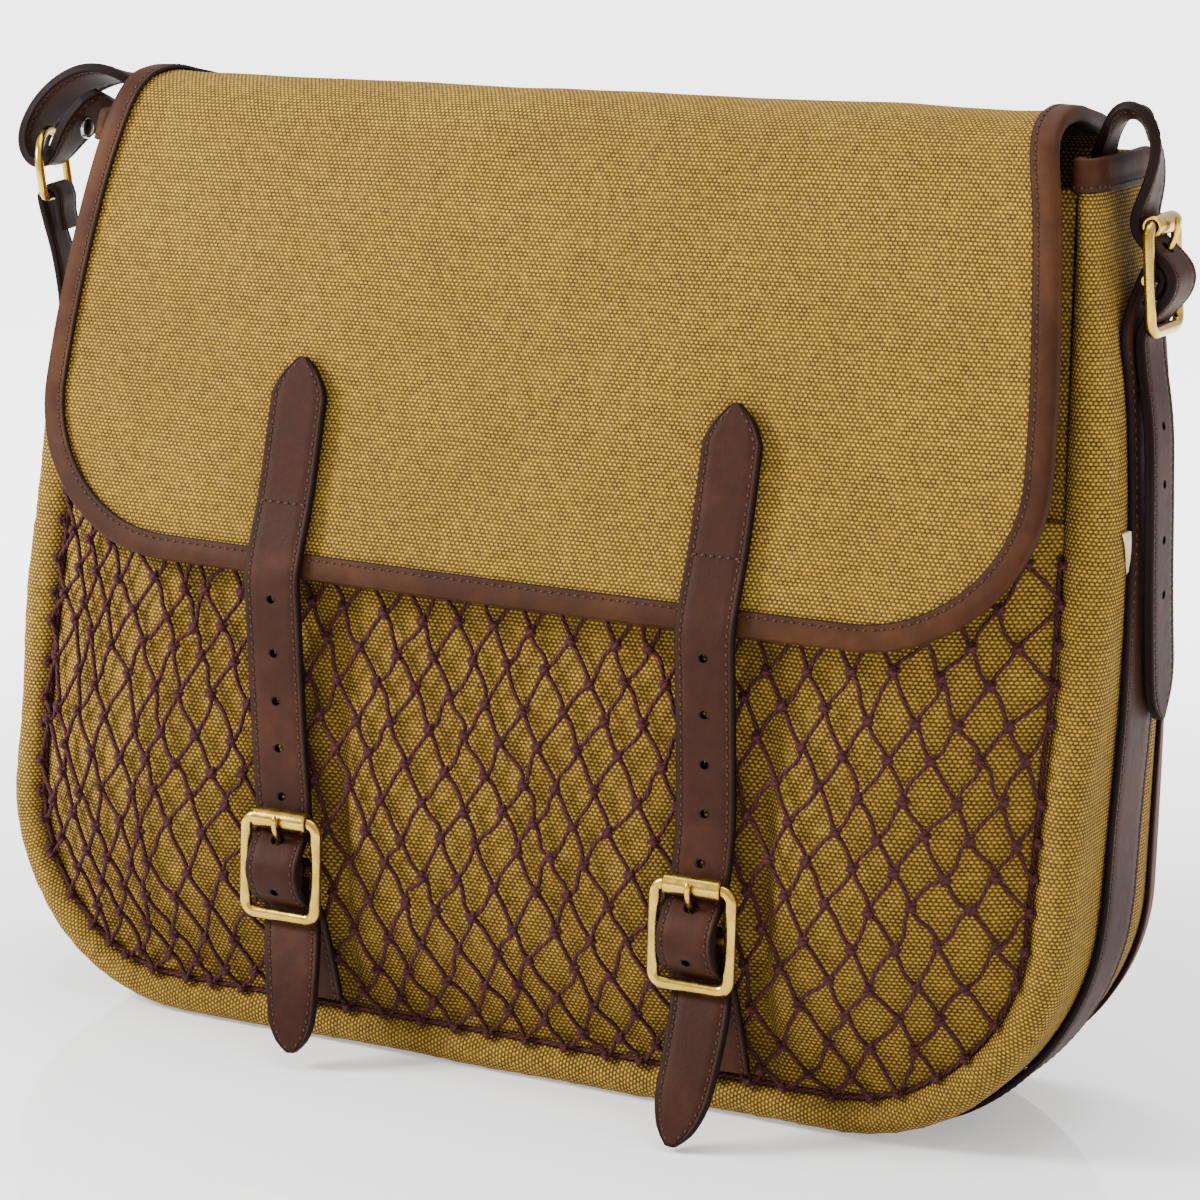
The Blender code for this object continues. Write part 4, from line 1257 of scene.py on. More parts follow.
@dataclass
class CanvasBody:
    """The canvas body: side band with its rolled rim, inner front, back and their binding."""

    shape: BagShape
    finishes: Finishes
    rows: int = 330
    rim_out: float = 14.0
    rim: tuple = ((-1, 0), (-4.6, 3.5), (-5, 8), (-2.6, 12), (3, 14), (14, 14))
    back_turn: float = 14.0
    cloth: float = 2.0
    lining: float = 1.5
    front_half: float = 199.0
    front_top: float = 322.0
    back_half: float = 213.0
    pucker_sizes: tuple = (5.2, 2.6)
    pucker_high: float = 0.4
    fold_size: float = 46.0
    fold_high: float = 0.9
    still_end: float = 26.0
    least_z: float = 0.15
    top_lap: float = 10.0
    binding_steps: int = 280
    binding_lap: float = 7.5
    binding_stitches: float = 5.4

    def build(self) -> None:
        """Makes each piece of the body."""
        self.gusset()
        self.panels()
        self.back_binding()
        for side in Side:
            self.top_binding(side)

    def gusset(self) -> None:
        """The band round the sides and base, puckered along its rolled rim."""
        shape = self.shape
        profile = smooth_rows([(behind, out, 0.0) for behind, out in self.rim], 1.8)
        rim_count = len(profile)
        rows = [self.gusset_row(-1.0 + 2.0 * i / self.rows, profile)
                for i in range(self.rows + 1)]
        gone = lengths([row[rim_count] for row in rows])

        def height(i: int, j: int, point: Vector) -> float:
            """Puckers drawn in by the seam, and soft folds across the band.

            Args:
                i: the point's row.
                j: its column.
                point: its place.

            Returns:
                How far out it goes.
            """
            near = bell(j - rim_count * 0.45, rim_count * 0.42)
            ends = ease(min(gone[i], gone[-1] - gone[i]) / self.still_end)
            long, short = (gone[i] / size for size in self.pucker_sizes)
            pucker = ripple(long, j / 9.0, 3.0, 1.0) + 0.6 * ripple(short, j / 6.0, 7.0, 1.0)
            fold = ripple(point.x, point.y * 0.5, point.z, self.fold_size, 2.0)
            away = ease(1.0 - j / (len(rows[0]) - 7))
            low = 0.25 if point.z < 12.0 and j > rim_count else 1.0
            return ends * (self.pucker_high * near * pucker
                           + self.fold_high * fold * (0.4 + 0.6 * away) * low) - 0.3
        rows = swell(rows, height)
        for row in rows:
            for point in row:
                point.z = max(point.z, self.least_z)
        across = [lengths(row) for row in rows]
        uvs = [[(across[i][j], gone[i]) for j in range(len(row))] for i, row in enumerate(rows)]
        bm = grid_mesh(rows, uvs)
        turn_out(bm, Vector((0, 0, shape.top / 2)))
        piece = add_piece("side_band", bm, self.finishes.duck, ["gusset"])
        wall(piece, self.cloth)

    def gusset_row(self, share: float, profile: Sequence[Row], flat_steps: int = 18,
                   turn_steps: int = 5) -> list[Vector]:
        """One row of points across the band, from the front seam to the back one.

        Args:
            share: where it is round the sides and base.
            profile: the rim's distances behind the seam and out from it.
            flat_steps: points over the flat of the side.
            turn_steps: points round its turn into the back.

        Returns:
            The row before it is puckered.
        """
        shape = self.shape
        seam, side, back = (Vector((*shape.around(line, share), 0.0)) for line in shape.lines)
        y0 = shape.seam_y(seam.y)
        row = []
        for behind, out, _ in profile:
            at = seam.lerp(side, out / self.rim_out)
            row.append(Vector((at.x, y0 + behind, at.y)))
        start, end = y0 + self.rim[-1][0], shape.back_y - self.back_turn
        row += [Vector((side.x, start + (end - start) * k / flat_steps, side.y))
                for k in range(1, flat_steps + 1)]
        for k in range(1, turn_steps + 1):
            at = side.lerp(back, k / turn_steps)
            row.append(Vector((at.x, end + self.back_turn * k / turn_steps, at.y)))
        return [Vector((p.x, p.y, shape.slanted(p.x, p.z))) for p in row]

    def panels(self) -> None:
        """The main compartment's front and the back."""
        shape = self.shape
        front = [shape.around("seam", -1 + i / 30, self.front_top, 0.6) for i in range(61)]
        bm = cut_cloth((-self.front_half, self.front_half), (12, self.front_top), 5.0, front,
                       lambda x, z: Vector(
                           (x, shape.seam_y(z) + 0.7 + 0.5 * ripple(x, 0, z, 40.0),
                            shape.slanted(x, z))))
        face_towards(bm, Vector((0, -1, 0)))
        piece = add_piece("inner_front", bm, self.finishes.duck, ["front_panel"])
        wall(piece, self.lining)

        back = [shape.around("back", -1 + i / 30) for i in range(61)]
        outer_y = shape.back_y + self.cloth - 0.9
        bm = cut_cloth((-self.back_half, self.back_half), (0, shape.top), 4.0, back,
                       lambda x, z: Vector((x, outer_y + 0.7 * ripple(x, 0, z, 55.0, 4.0),
                                            shape.slanted(x, z))))
        face_towards(bm, Vector((0, 1, 0)))
        piece = add_piece("back_cloth", bm, self.finishes.duck, ["back_panel"])
        wall(piece, self.cloth - 0.3)

    def back_binding(self) -> None:
        """Leather folded over the back seam, sewn on its back face."""
        shape = self.shape
        outer_y = shape.back_y + 2.3
        front_y = shape.back_y - 6.0
        lap = self.binding_lap
        section = [(-0.6, front_y, 0.43), (-0.6, shape.back_y, 0), (-0.6, outer_y, 0),
                   (lap, outer_y, 0), (lap, outer_y + 0.8, 0), (7.1, outer_y + 1.2, 0),
                   (6.2, outer_y + 1.2, 0), (5.4, outer_y + 1.0, 0), (4.6, outer_y + 1.2, 0),
                   (1.4, outer_y + 1.2, 0), (-0.4, outer_y + 1.05, 0), (-1.4, outer_y + 0.6, 0),
                   (-1.8, outer_y - 0.3, 0), (-1.8, shape.back_y - 1, 0.07),
                   (-1.8, front_y + 0.6, 0.39), (-1.4, front_y, 0.43), (-0.6, front_y, 0.43)]
        top = shape.top - 10.3
        rows, line = [], []
        for i in range(self.binding_steps + 1):
            share = -1 + 2 * i / self.binding_steps
            row = []
            for inset, y, forward in section:
                back = Vector(shape.around("back", share, top, inset))
                at = back.lerp(Vector(shape.around("side", share, top, inset)), forward)
                row.append(Vector((at.x, y, shape.slanted(*at))))
            rows.append(row)
            at = shape.around("back", share, top, self.binding_stitches)
            line.append(Vector((at[0], outer_y + 1.05, shape.slanted(*at))))
        edges = [[min(abs(lap - inset), abs(y - front_y)) for inset, y, _ in section]] * len(rows)
        uvs = [[(inset + y, gone) for inset, y, _ in section]
               for gone in lengths([row[0] for row in rows])]
        add_piece("back_edge_binding", grid_mesh(rows, uvs, edges, ring=True),
                  self.finishes.back_hide, ["back_binding"])
        sewing = Stitches()
        sewing.run(line, [Vector((0, 1, 0))] * len(line))
        sewing.piece("back_edge_stitches", self.finishes.thread)

    def rim_place(self, side: Side, behind: float, out: float, z: float) -> Vector:
        """A point of the side's outer face, past the seam by a rim row's distances.

        Args:
            side: which side.
            behind: how far behind the seam, or the place itself past the rim.
            out: how far out from the seam.
            z: the height.

        Returns:
            The point.
        """
        shape = self.shape
        seam, wide = shape.half("seam", z), shape.half("side", z)
        x = seam + (wide - seam) * min(out / self.rim_out, 1.0)
        y = shape.seam_y(z) + behind if out < self.rim_out else behind
        x += (shape.half("back", z) - wide) * held((y - shape.back_y + self.back_turn)
                                                   / self.back_turn)
        return Vector((side.value * x, y, z))

    def top_binding(self, side: Side) -> None:
        """Leather folded over the top edge of one side, from the front seam back.

        Args:
            side: which side.
        """
        shape = self.shape
        rim = smooth_rows([(*row, 0.0) for row in self.rim[:-1]], 1.2)
        front = [(behind, out) for behind, out, _ in rim]
        first, last = shape.seam_y(shape.top) + front[-1][0], shape.back_y - 0.5
        run = front[:-1] + [(first + (last - first) * i / 24, self.rim_out) for i in range(25)]
        points = [self.rim_place(side, *row, shape.top) for row in run]
        outs = [(point - self.rim_place(side, *row, shape.top - self.top_lap)).normalized()
                for row, point in zip(run, points)]
        normals = [way.cross(out).normalized() * side.value
                   for way, out in zip(directions(points), outs)]
        for point in points:
            point.z = shape.slanted(point.x, point.z)
        name = f"top_binding_{side.word}"
        add_piece(name, channel(points, outs, normals, self.top_lap), self.finishes.edge_hide,
                  [f"gusset_binding_{side.word}"])
        sewing = Stitches()
        sewing.run([p - o * 8.0 + n * 1.75 for p, o, n in zip(points, outs, normals)], normals)
        sewing.piece(f"{name}_stitches", self.finishes.thread)


def turn_out(bm: BMesh, centre: Vector) -> None:
    """Turns a sheet's faces so that most look away from a point.

    Args:
        bm: the sheet.
        centre: the point.
    """
    bm.normal_update()
    if sum(face.normal.dot(face.calc_center_median() - centre) * face.calc_area()
           for face in bm.faces) < 0:
        bmesh.ops.reverse_faces(bm, faces=bm.faces)


@dataclass
class FrontPocket:
    """The stuffed pocket under the flap, gathered into the seam round it."""

    shape: BagShape
    finishes: Finishes
    top: float = 217.0
    step: float = 2.6
    cloth: float = 1.5
    gather_reach: float = 28.0
    gather_sizes: tuple = (6.5, 3.6)
    gather_high: float = 1.1
    fold_size: float = 34.0
    fold_high: float = 1.1
    drag_size: float = 7.5
    drag_high: float = 0.7
    drag_aside: float = 14.0
    drag_wide: float = 20.0
    valley_aside: float = 15.5
    valley_wide: float = 6.0
    valley_deep: float = 6.0

    def crease(self, x: float, z: float) -> float:
        """How far the cloth stands out from its smooth shape.

        Args:
            x: its place across.
            z: its height.

        Returns:
            The distance.
        """
        foot_x, foot_z, inside = self.shape.seam_foot(x, z)
        inner = ease(inside / 14.0)
        near = ease(1.0 - inside / self.gather_reach) * ease(inside / 5.0)
        long, short = self.gather_sizes
        gather = (ripple(foot_x, 0.0, foot_z, long, 1.0)
                  + 0.5 * ripple(foot_x, 0.0, foot_z, short, 5.0))
        fold = ripple(x * 1.4, 0.0, z * 0.8, self.fold_size, 3.0)
        drag = ripple(x * 0.8 + z * 0.9, 0.0, z * 0.25, self.drag_size, 9.0)
        pull = sum(bell(x - pinch - self.drag_aside, self.drag_wide) * ease((95.0 - z) / 60.0)
                   for pinch in self.shape.pinches)
        valley = sum(bell(x - pinch - self.valley_aside, self.valley_wide)
                     for pinch in self.shape.pinches)
        valley *= self.valley_deep * ease((190.0 - z) / 110.0) * inner
        return (-valley + self.gather_high * near * gather
                + inner * (self.fold_high * fold + self.drag_high * pull * drag) - 0.8)

    def face(self, x: float, z: float) -> Vector:
        """The creased outer face."""
        return self.shape.pocket(x, z) + self.shape.pocket_normal(x, z) * self.crease(x, z)

    def build(self) -> None:
        """Makes the pocket."""
        outline = [self.shape.around("seam", -1 + i / 40, self.top, -1.6) for i in range(81)]
        bm = cut_cloth((-198, 198), (12, self.top), self.step, outline, self.face)
        face_towards(bm, Vector((0, -1, 0)))
        piece = add_piece("pocket_cloth", bm, self.finishes.duck, ["pocket_panel"])
        wall(piece, self.cloth)


@dataclass
class Netting:
    """Knotted twine net over the pocket, tied along its seam and going up under the flap."""

    shape: BagShape
    finishes: Finishes
    pocket: FrontPocket
    top: float = 215.0
    cell: float = 14.8
    drop: float = 12.7
    twine: float = 0.82
    lying: float = 0.25
    taut: float = 2.3
    taut_pinch: float = 0.65
    last_row: int = 18
    columns: tuple = (-18, 16)
    sway: float = 2.6
    jitter: float = 2.6
    bunch_x: float = 101.0
    bunch_wide: float = 22.0
    knot: float = 1.32
    seam_knot: float = 1.1
    turns: tuple = ((0.75, 2.1, 0.4), (-0.75, 1.9, 0.8), (0.1, 1.45, 1.15))

    def skin(self, x: float, z: float) -> Vector:
        """Where twine lies over the pocket.

        Args:
            x: its place across.
            z: its height.

        Returns:
            The middle of the twine.
        """
        normal = self.shape.pocket_normal(x, z)
        taut = self.shape.pocket(x, z, self.taut_pinch) + normal * self.taut
        lying = self.pocket.face(x, z) + normal * (self.twine + self.lying)
        return lying if (lying - taut).dot(normal) > 0 else taut

    def node_place(self, column: int, row: int) -> Point2:
        """Where a knot hangs: closer together at the left, and never quite even.

        Args:
            column: its column.
            row: its row, from the top.

        Returns:
            Its place across and up.
        """
        p = column * self.cell + (row % 2) * self.cell / 2
        left = ease((-100.0 - p) / 40.0)
        p += 0.14 * max(-112.0 - p, 0.0)
        x = p + (self.sway + 4.0 * left) * ripple(p, 0.0, row * 9.0, 30.0, 6.0)
        z = (self.top - 1.0 - row * self.drop
             + (self.sway + 3.0 * left) * ripple(p, 0.0, row * 11.0, 26.0, 8.0))
        jitter = self.jitter + 1.6 * left
        x += jitter * noise.noise(Vector((column * 3.7, row * 5.3, 1.5)))
        z += jitter * noise.noise(Vector((column * 4.1, row * 2.9, 8.5)))
        bunch = bell(x - self.bunch_x, self.bunch_wide) * ease((100.0 - z) / 60.0)
        return x - 7.0 * bunch * ease((x - 88.0) / 30.0), z - 3.0 * bunch

    def build(self) -> None:
        """Makes the strands, their knots and the cord that they are tied to."""
        shape, sites = self.shape, self.sites()
        parts: list[Mesh] = []
        bead = soft_bead(8, 5, 1.7)
        for (column, row), (x, z, free) in sites.items():
            for step in (0, 1):
                other = sites.get((column + step - (1 - row % 2), row + 1))
                if other and (free or other[2]):
                    self.strand(parts, (x, z), other[:2], column * 31 + row * 7 + step)
            if free and z < self.top - 0.5 or not free:
                size = self.knot if free else self.seam_knot
                self.tie(parts, bead, x, z, size, column * 1.7 + row)
        add_piece("net_mesh", gathered(parts), self.finishes.twine, ["net"], sharp=80.0)
        edge = []
        for i in range(401):
            x, z = shape.around("seam", -1 + i / 200, self.top - 9.0, 0.7)
            edge.append(shape.pocket(x, z) + Vector((0, -0.5 - 0.3 * math.sin(i * 0.9), 0)))
        add_piece("net_edge_cord", tube(edge, 0.9, sides=8), self.finishes.twine, sharp=80.0)

    def sites(self) -> dict[tuple[int, int], tuple[float, float, bool]]:
        """Each knot's place by its column and row, and whether it hangs free of the seam."""
        sites = {}
        for row in range(self.last_row + 1):
            for column in range(*self.columns):
                x, z = self.node_place(column, row)
                foot_x, foot_z, inside = self.shape.seam_foot(x, z)
                if inside > 5.0:
                    sites[column, row] = (x, min(z, self.top), True)
                elif inside > -9.0 and foot_z < self.top - 8.0:
                    sites[column, row] = (foot_x * 0.998, foot_z + 0.3, False)
        return sites

    def strand(self, parts: list[Mesh], start: Point2, end: Point2, seed: int,
               steps: int = 6) -> None:
        """One length of twine between two knots, bowed one way or both.

        Args:
            parts: the meshes that it joins.
            start: the first knot's place across and up.
            end: the second knot's.
            seed: a number that sets its bow.
            steps: the lengths that it is bent in.
        """
        bow = 2.6 * noise.noise(Vector((seed * 0.37, seed * 0.11, 2.0)))
        sway = 1.6 * noise.noise(Vector((seed * 0.23, seed * 0.31, 7.0)))
        along = Vector((end[0] - start[0], end[1] - start[1]))
        if along.length < 2.0:
            return
        aside = Vector((-along.y, along.x)).normalized()
        points = []
        for k in range(steps + 1):
            share = k / steps
            off = bow * math.sin(math.pi * share) + sway * math.sin(2 * math.pi * share)
            points.append(self.skin(*(Vector(start).lerp(Vector(end), share) + aside * off)))
        parts.append(made_mesh("strand", tube(points, self.twine, sides=6)))

    def tie(self, parts: list[Mesh], bead: Mesh, x: float, z: float,
            size: float, seed: float) -> None:
        """A netting knot: three crossed turns of twine.

        Args:
            parts: the meshes that it joins.
            bead: the shape of one turn.
            x: its place across.
            z: its height.
            size: about half the thickness of a turn.
            seed: a number that sets its lean.
        """
        centre = self.skin(x, z)
        normal = self.shape.pocket_normal(x, z)
        for turn, long, up in self.turns:
            angle = turn + 0.5 * math.sin(seed * 2.3)
            way = Vector((math.cos(angle), 0, math.sin(angle)))
            way = (way - normal * way.dot(normal)).normalized()
            place = placing(centre + normal * (up * size), (way, normal.cross(way), normal),
                            Vector((long * size, 1.1 * size, 0.95 * size)))
            parts.append(copied(bead, place))


@dataclass
class Flap:
    """The canvas flap over the top and front, bound in leather from the back's edge round."""

    shape: BagShape
    finishes: Finishes
    half: float = 195.0
    corner: float = 60.0
    cloth: float = 2.0
    reach: float = 7.5
    rows: tuple = (
        (49.9, 298, 172, 0), (49.9, 316, 174, 0), (49.9, 332.5, 176, 0), (47.2, 338, 177.5, 0),
        (39, 341.3, 178.5, 0), (24, 344.3, 179, 0), (8, 346.8, 179.5, 0), (-4, 345.6, 180, .5),
        (-12.5, 341.5, 180.5, 2), (-18, 334, 182, 3.5), (-23.5, 315, 186, 5.5),
        (-31.8, 280, 190.7, 6.6), (-38, 250, 193.5, 6.6), (-44.4, 220, 194.8, 6.6),
        (-50, 200, 195, 6.6), (-57, 175, 195, 6.6))
    bound_from: int = 3
    dip_sizes: tuple = (62.0, 23.0)
    dip_deep: float = 0.9
    dip_from: float = 24.0
    groove_in: float = 5.4
    hem_in: float = 4.0
    hem_down: float = 33.0
    hem_gap: float = 4.5

    def __post_init__(self) -> None:
        """Measures the flap down from the back seam."""
        gone = [0.0]
        for a, b in zip(self.rows, self.rows[1:]):
            gone.append(gone[-1] + math.hypot(b[0] - a[0], b[1] - a[1]))
        self.downs, self.long = gone, gone[-1]
        self.table = Table("down y z half crown",
                           [(down, *row) for down, row in zip(gone, self.rows)])

    def smooth(self, x: float, down: float) -> Vector:
        """The flap's smooth outer face, from its flat cut.

        Args:
            x: its place across the flat cut.
            down: how far down the cut it lies.

        Returns:
            The point.
        """
        y, z, half, crown = (self.table.at(name, down) for name in ("y", "z", "half", "crown"))
        across = x / self.half
        return Vector((across * half, y - crown * (1 - across * across),
                       self.shape.slanted(across * half, z)))

    def normal(self, x: float, down: float) -> Vector:
        """The way that the outer face looks."""
        along = self.smooth(x + 1, down) - self.smooth(x - 1, down)
        fall = self.smooth(x, down + 1) - self.smooth(x, down - 1)
        return fall.cross(along).normalized()

    def face(self, x: float, down: float) -> Vector:
        """The outer face with its soft dips.

        Args:
            x: its place across the flat cut.
            down: how far down the cut it lies.

        Returns:
            The point.
        """
        inside = min(self.half - abs(x), self.long - down)
        long, short = self.dip_sizes
        dip = 0.8 + ripple(x, 0.0, down, long, 1.0) + 0.35 * ripple(x, 0.0, down, short, 2.0)
        deep = max(dip, 0.0) * self.dip_deep * ease(inside / self.dip_from)
        return self.smooth(x, down) - self.normal(x, down) * deep

    def edge(self, start: float) -> list[Point2]:
        """The flat cut's edge from one side, round the front corners, to the other.

        Args:
            start: how far down the cut it starts and ends.

        Returns:
            Places across and down.
        """
        knee = self.long - self.corner
        left = [(-self.half, start + (knee - start) * i / 60) for i in range(60)]
        left += [(-self.half + self.corner * (1 - math.cos(math.radians(a))),
                  knee + self.corner * math.sin(math.radians(a))) for a in range(0, 91, 5)]
        inner = self.half - self.corner
        flat = [(-inner + 2 * inner * i / 56, self.long) for i in range(1, 56)]
        return left + flat + [(-x, down) for x, down in reversed(left)]

    def build(self) -> None:
        """Makes the flap, its binding and its sewing."""
        outline = [(x, -down) for x, down in self.edge(0.0)]
        bm = cut_cloth((-self.half, self.half), (-self.long, 0.0), 4.0, outline,
                       lambda x, z: self.face(x, -z))
        face_towards(bm, Vector((0, -1, 1)))
        piece = add_piece("flap_cloth", bm, self.finishes.duck, ["flap"])
        wall(piece, self.cloth)

        bound = self.edge(self.downs[self.bound_from])
        points = [self.smooth(*place) for place in bound]
        normals = [self.normal(min(max(x, 1 - self.half), self.half - 1), min(down, self.long - 1))
                   for x, down in bound]
        outs = [normal.cross(way).normalized() for normal, way in zip(normals, directions(points))]
        if outs[0].x > 0:
            outs = [-out for out in outs]
        add_piece("flap_edge_binding", channel(points, outs, normals, self.reach),
                  self.finishes.edge_hide, ["flap_binding"])
        sewing = Stitches()
        sewing.run([p - o * self.groove_in + n * 1.68 for p, o, n in zip(points, outs, normals)],
                   normals)
        inner, tall = self.half - self.hem_in, self.hem_down - self.hem_in
        left = [(-inner, self.hem_down - tall * i / 20) for i in range(21)]
        hem = (left + [(-inner + 2 * inner * i / 100, self.hem_in) for i in range(1, 100)]
               + [(-x, down) for x, down in reversed(left)])
        for gap in (0.0, self.hem_gap):
            line = [(x * (1 - gap / inner), down + gap) for x, down in hem
                    if down + gap < self.hem_down + 1.0]
            faces = [self.normal(*place) for place in line]
            sewing.run([self.face(*place) + face * 0.12 for place, face in zip(line, faces)], faces)
        sewing.piece("flap_edge_stitches", self.finishes.thread)


@dataclass
class RollerBuckle:
    """A brass roller buckle: a rounded frame with a bar, a roller and a tongue."""

    finishes: Finishes
    name: str
    centre: Vector
    across: Vector
    up: Vector
    tongue: Sequence[Point2]
    wire: float = 2.2
    half: float = 14.3
    reach: float = 17.6
    corner: float = 4.0
    bar: float = 1.9
    roller_half: float = 10.6
    roller: float = 3.6
    bore: float = 2.5

    def at(self, across: float, up: float, out: float = 0.0) -> Vector:
        """A place in the buckle's own directions."""
        return self.centre + self.across * across + self.up * up + self.across.cross(self.up) * out

    def build(self) -> None:
        """Makes the frame, the roller and the tongue."""
        ring = []
        for sign_a, sign_u, start in ((1, 1, 0), (-1, 1, 90), (-1, -1, 180), (1, -1, 270)):
            for i in range(7):
                angle = math.radians(start + 15 * i)
                ring.append(self.at(
                    sign_a * (self.half - self.corner) + self.corner * math.cos(angle),
                    sign_u * (self.reach - self.corner) + self.corner * math.sin(angle)))
        ring.append(ring[0])
        bm = tube(ring, self.wire, sides=14, loop=True, flat=0.86,
                  level=self.across.cross(self.up))
        bar = [self.at(-self.half + 2 * self.half * i / 8, 0, -1) for i in range(9)]
        take(bm, made_mesh("bar", tube(bar, self.bar, sides=12)))
        add_piece(f"{self.name}_frame_shaped", bm, self.finishes.brass, [f"{self.name}_frame"])
        half, thick = self.roller_half, self.roller
        right = [(half * 0.3, thick + 0.05), (half - 0.5, thick), (half, thick - 0.5),
                 (half, self.bore)]
        profile = [(-along, out) for along, out in reversed(right)] + right
        add_piece(f"{self.name}_roller_turned",
                  turned(profile, self.at(0, self.reach), self.across), self.finishes.brass,
                  [f"{self.name}_roller"], sharp=40.0)
        rows = smooth_rows([(*self.at(0, u, o), 0, 0, 0) for u, o in self.tongue], 0.8)
        points = [Vector(row[:3]) for row in rows]
        radii = [1.3 - 0.35 * i / (len(points) - 1) for i in range(len(points))]
        radii[-1], radii[-2] = 0.45, 0.8
        add_piece(f"{self.name}_tongue", tube(points, radii, sides=10), self.finishes.brass,
                  [f"{self.name}_prong"])


@dataclass
class FrontStrap:
    """One of the two straps that hold the flap: strap, buckle, chape and sewing."""

    finishes: Finishes
    side: Side
    rows: Sequence[Row]
    buckle_x: float
    cross_z: float = 199.0
    cross_row: tuple = (-9.6, -4.8, 0, 4.8, 9.6)
    thick: float = 3.0
    holes: tuple = (166.0, 146.5, 129.0, 112.0, 95.0, 63.5)
    hole: float = 1.5
    tongue_hole: Point2 = (80.2, 2.5)
    sewn_z: float = 52.0
    sewn_y: float = -72.0
    buckle_y: float = -76.0
    buckle_z: float = 70.8
    tongue: tuple = ((5.8, -3.6), (7.4, -2.3), (9.4, 0), (11.4, 2.2), (14.4, 4.4), (17.6, 5.3),
                     (20.2, 4.9))
    chape: tuple = ((-77, 65.6), (-78.6, 70.2), (-77.6, 73.4), (-75, 74.6), (-72.4, 73.4),
                    (-71.3, 70.2), (-69.2, 62), (-64.6, 50), (-59.6, 36), (-55.8, 24),
                    (-54.2, 18))

    def build(self) -> None:
        """Makes the strap's pieces."""
        word = self.side.word
        band = Band([(x, y, z, 0, 0, width) for x, y, z, width in self.rows], self.thick,
                    Vector((1, 0, 0)))
        band.strip(f"strap_{word}", self.finishes.hide, [f"front_strap_{word}"],
                   [(z, self.hole) for z in self.holes] + [self.tongue_hole])
        sewing = Stitches()
        band.sew(sewing)
        point, normal, across = band.at_height(self.cross_z)
        sewing.run([point + across * a + normal * (self.thick / 2 + 0.12)
                    for a in self.cross_row], [normal] * len(self.cross_row))
        sewing.piece(f"strap_{word}_stitches", self.finishes.thread)
        RollerBuckle(self.finishes, f"buckle_{word}",
                     Vector((self.buckle_x, self.buckle_y, self.buckle_z)), Vector((1, 0, 0)),
                     Vector((0, 0, 1)), self.tongue).build()
        rows = [(self.buckle_x + 2.0 * max(0.0, (62.0 - z) / 44.0), y, z, 0, 0,
                 20.0 if z > 58 else 24.0) for y, z in self.chape]
        loop = Band(rows, 2.0, Vector((1, 0, 0)), width=24.0, step=1.5, corner=0.6,
                    layered=False)
        loop.strip(f"chape_{word}_folded", self.finishes.hide, [f"chape_{word}"])
        sewing = Stitches()
        loop.sew(sewing, keep=lambda point: point.z < self.sewn_z and point.y > self.sewn_y)
        sewing.piece(f"chape_{word}_stitches", self.finishes.thread)


@dataclass
class SideStrip:
    """A strip sewn down one side, with its top folded round the strap's hardware."""

    shape: BagShape
    finishes: Finishes
    side: Side
    fold: Sequence[Row]
    strip_y: float
    sewn_from: float
    turn: float = 0.0
    fold_from: float = 221.0
    thick: float = 2.5
    width: float = 30.0
    end_angle: float = 68.0
    lean: float = 0.0
    clear: float = 0.3
    flat_step: float = 14.0

    def forward(self, z: float) -> float:
        """Where the strip's middle lies: it comes forward on its way to the base."""
        share = 0.3 * ease((self.sewn_from - z) / 100.0) + 0.7 * ease((105.0 - z) / 105.0)
        return self.strip_y - self.lean * share

    def build(self) -> None:
        """Makes the strip and its sewing."""
        sign, turn = self.side.value, math.radians(self.turn)
        outward = Vector((sign * math.cos(turn), math.sin(turn), 0))
        rows = []
        for x, y, z, width in self.fold:
            at = Vector((sign * self.fold_from, y, z)) + outward * (x - self.fold_from)
            rows.append((*at, self.turn, 0.0, width))
        lift = self.clear + self.thick / 2
        radius, bottom = self.shape.lines["side"]
        knee = bottom + radius
        z = self.sewn_from
        while z > knee + 4:
            x = sign * (self.shape.half("side", z) + lift)
            rows.append((x, self.forward(z), self.shape.slanted(x, z), 0.0, 0.0, self.width))
            z -= self.flat_step
        centre = self.shape.half("side", knee) - radius
        for i in range(9):
            angle = math.radians(self.end_angle * i / 8)
            z = knee - (radius + lift) * math.sin(angle)
            rows.append((sign * (centre + (radius + lift) * math.cos(angle)), self.forward(z),
                         z, 0.0, 0.0, self.width))
        band = Band(rows, self.thick, Vector((0, 1, 0)), width=self.width, layered=False)
        name = f"side_strap_{self.side.word}"
        band.strip(name, self.finishes.hide, [f"side_strip_{self.side.word}"])
        sewing = Stitches()
        face = 1 if band.normals[len(band.normals) // 2].x * sign > 0 else -1
        band.sew(sewing, faces=(face,), keep=lambda point: point.z < self.sewn_from)
        sewing.piece(f"{name}_stitches", self.finishes.thread)


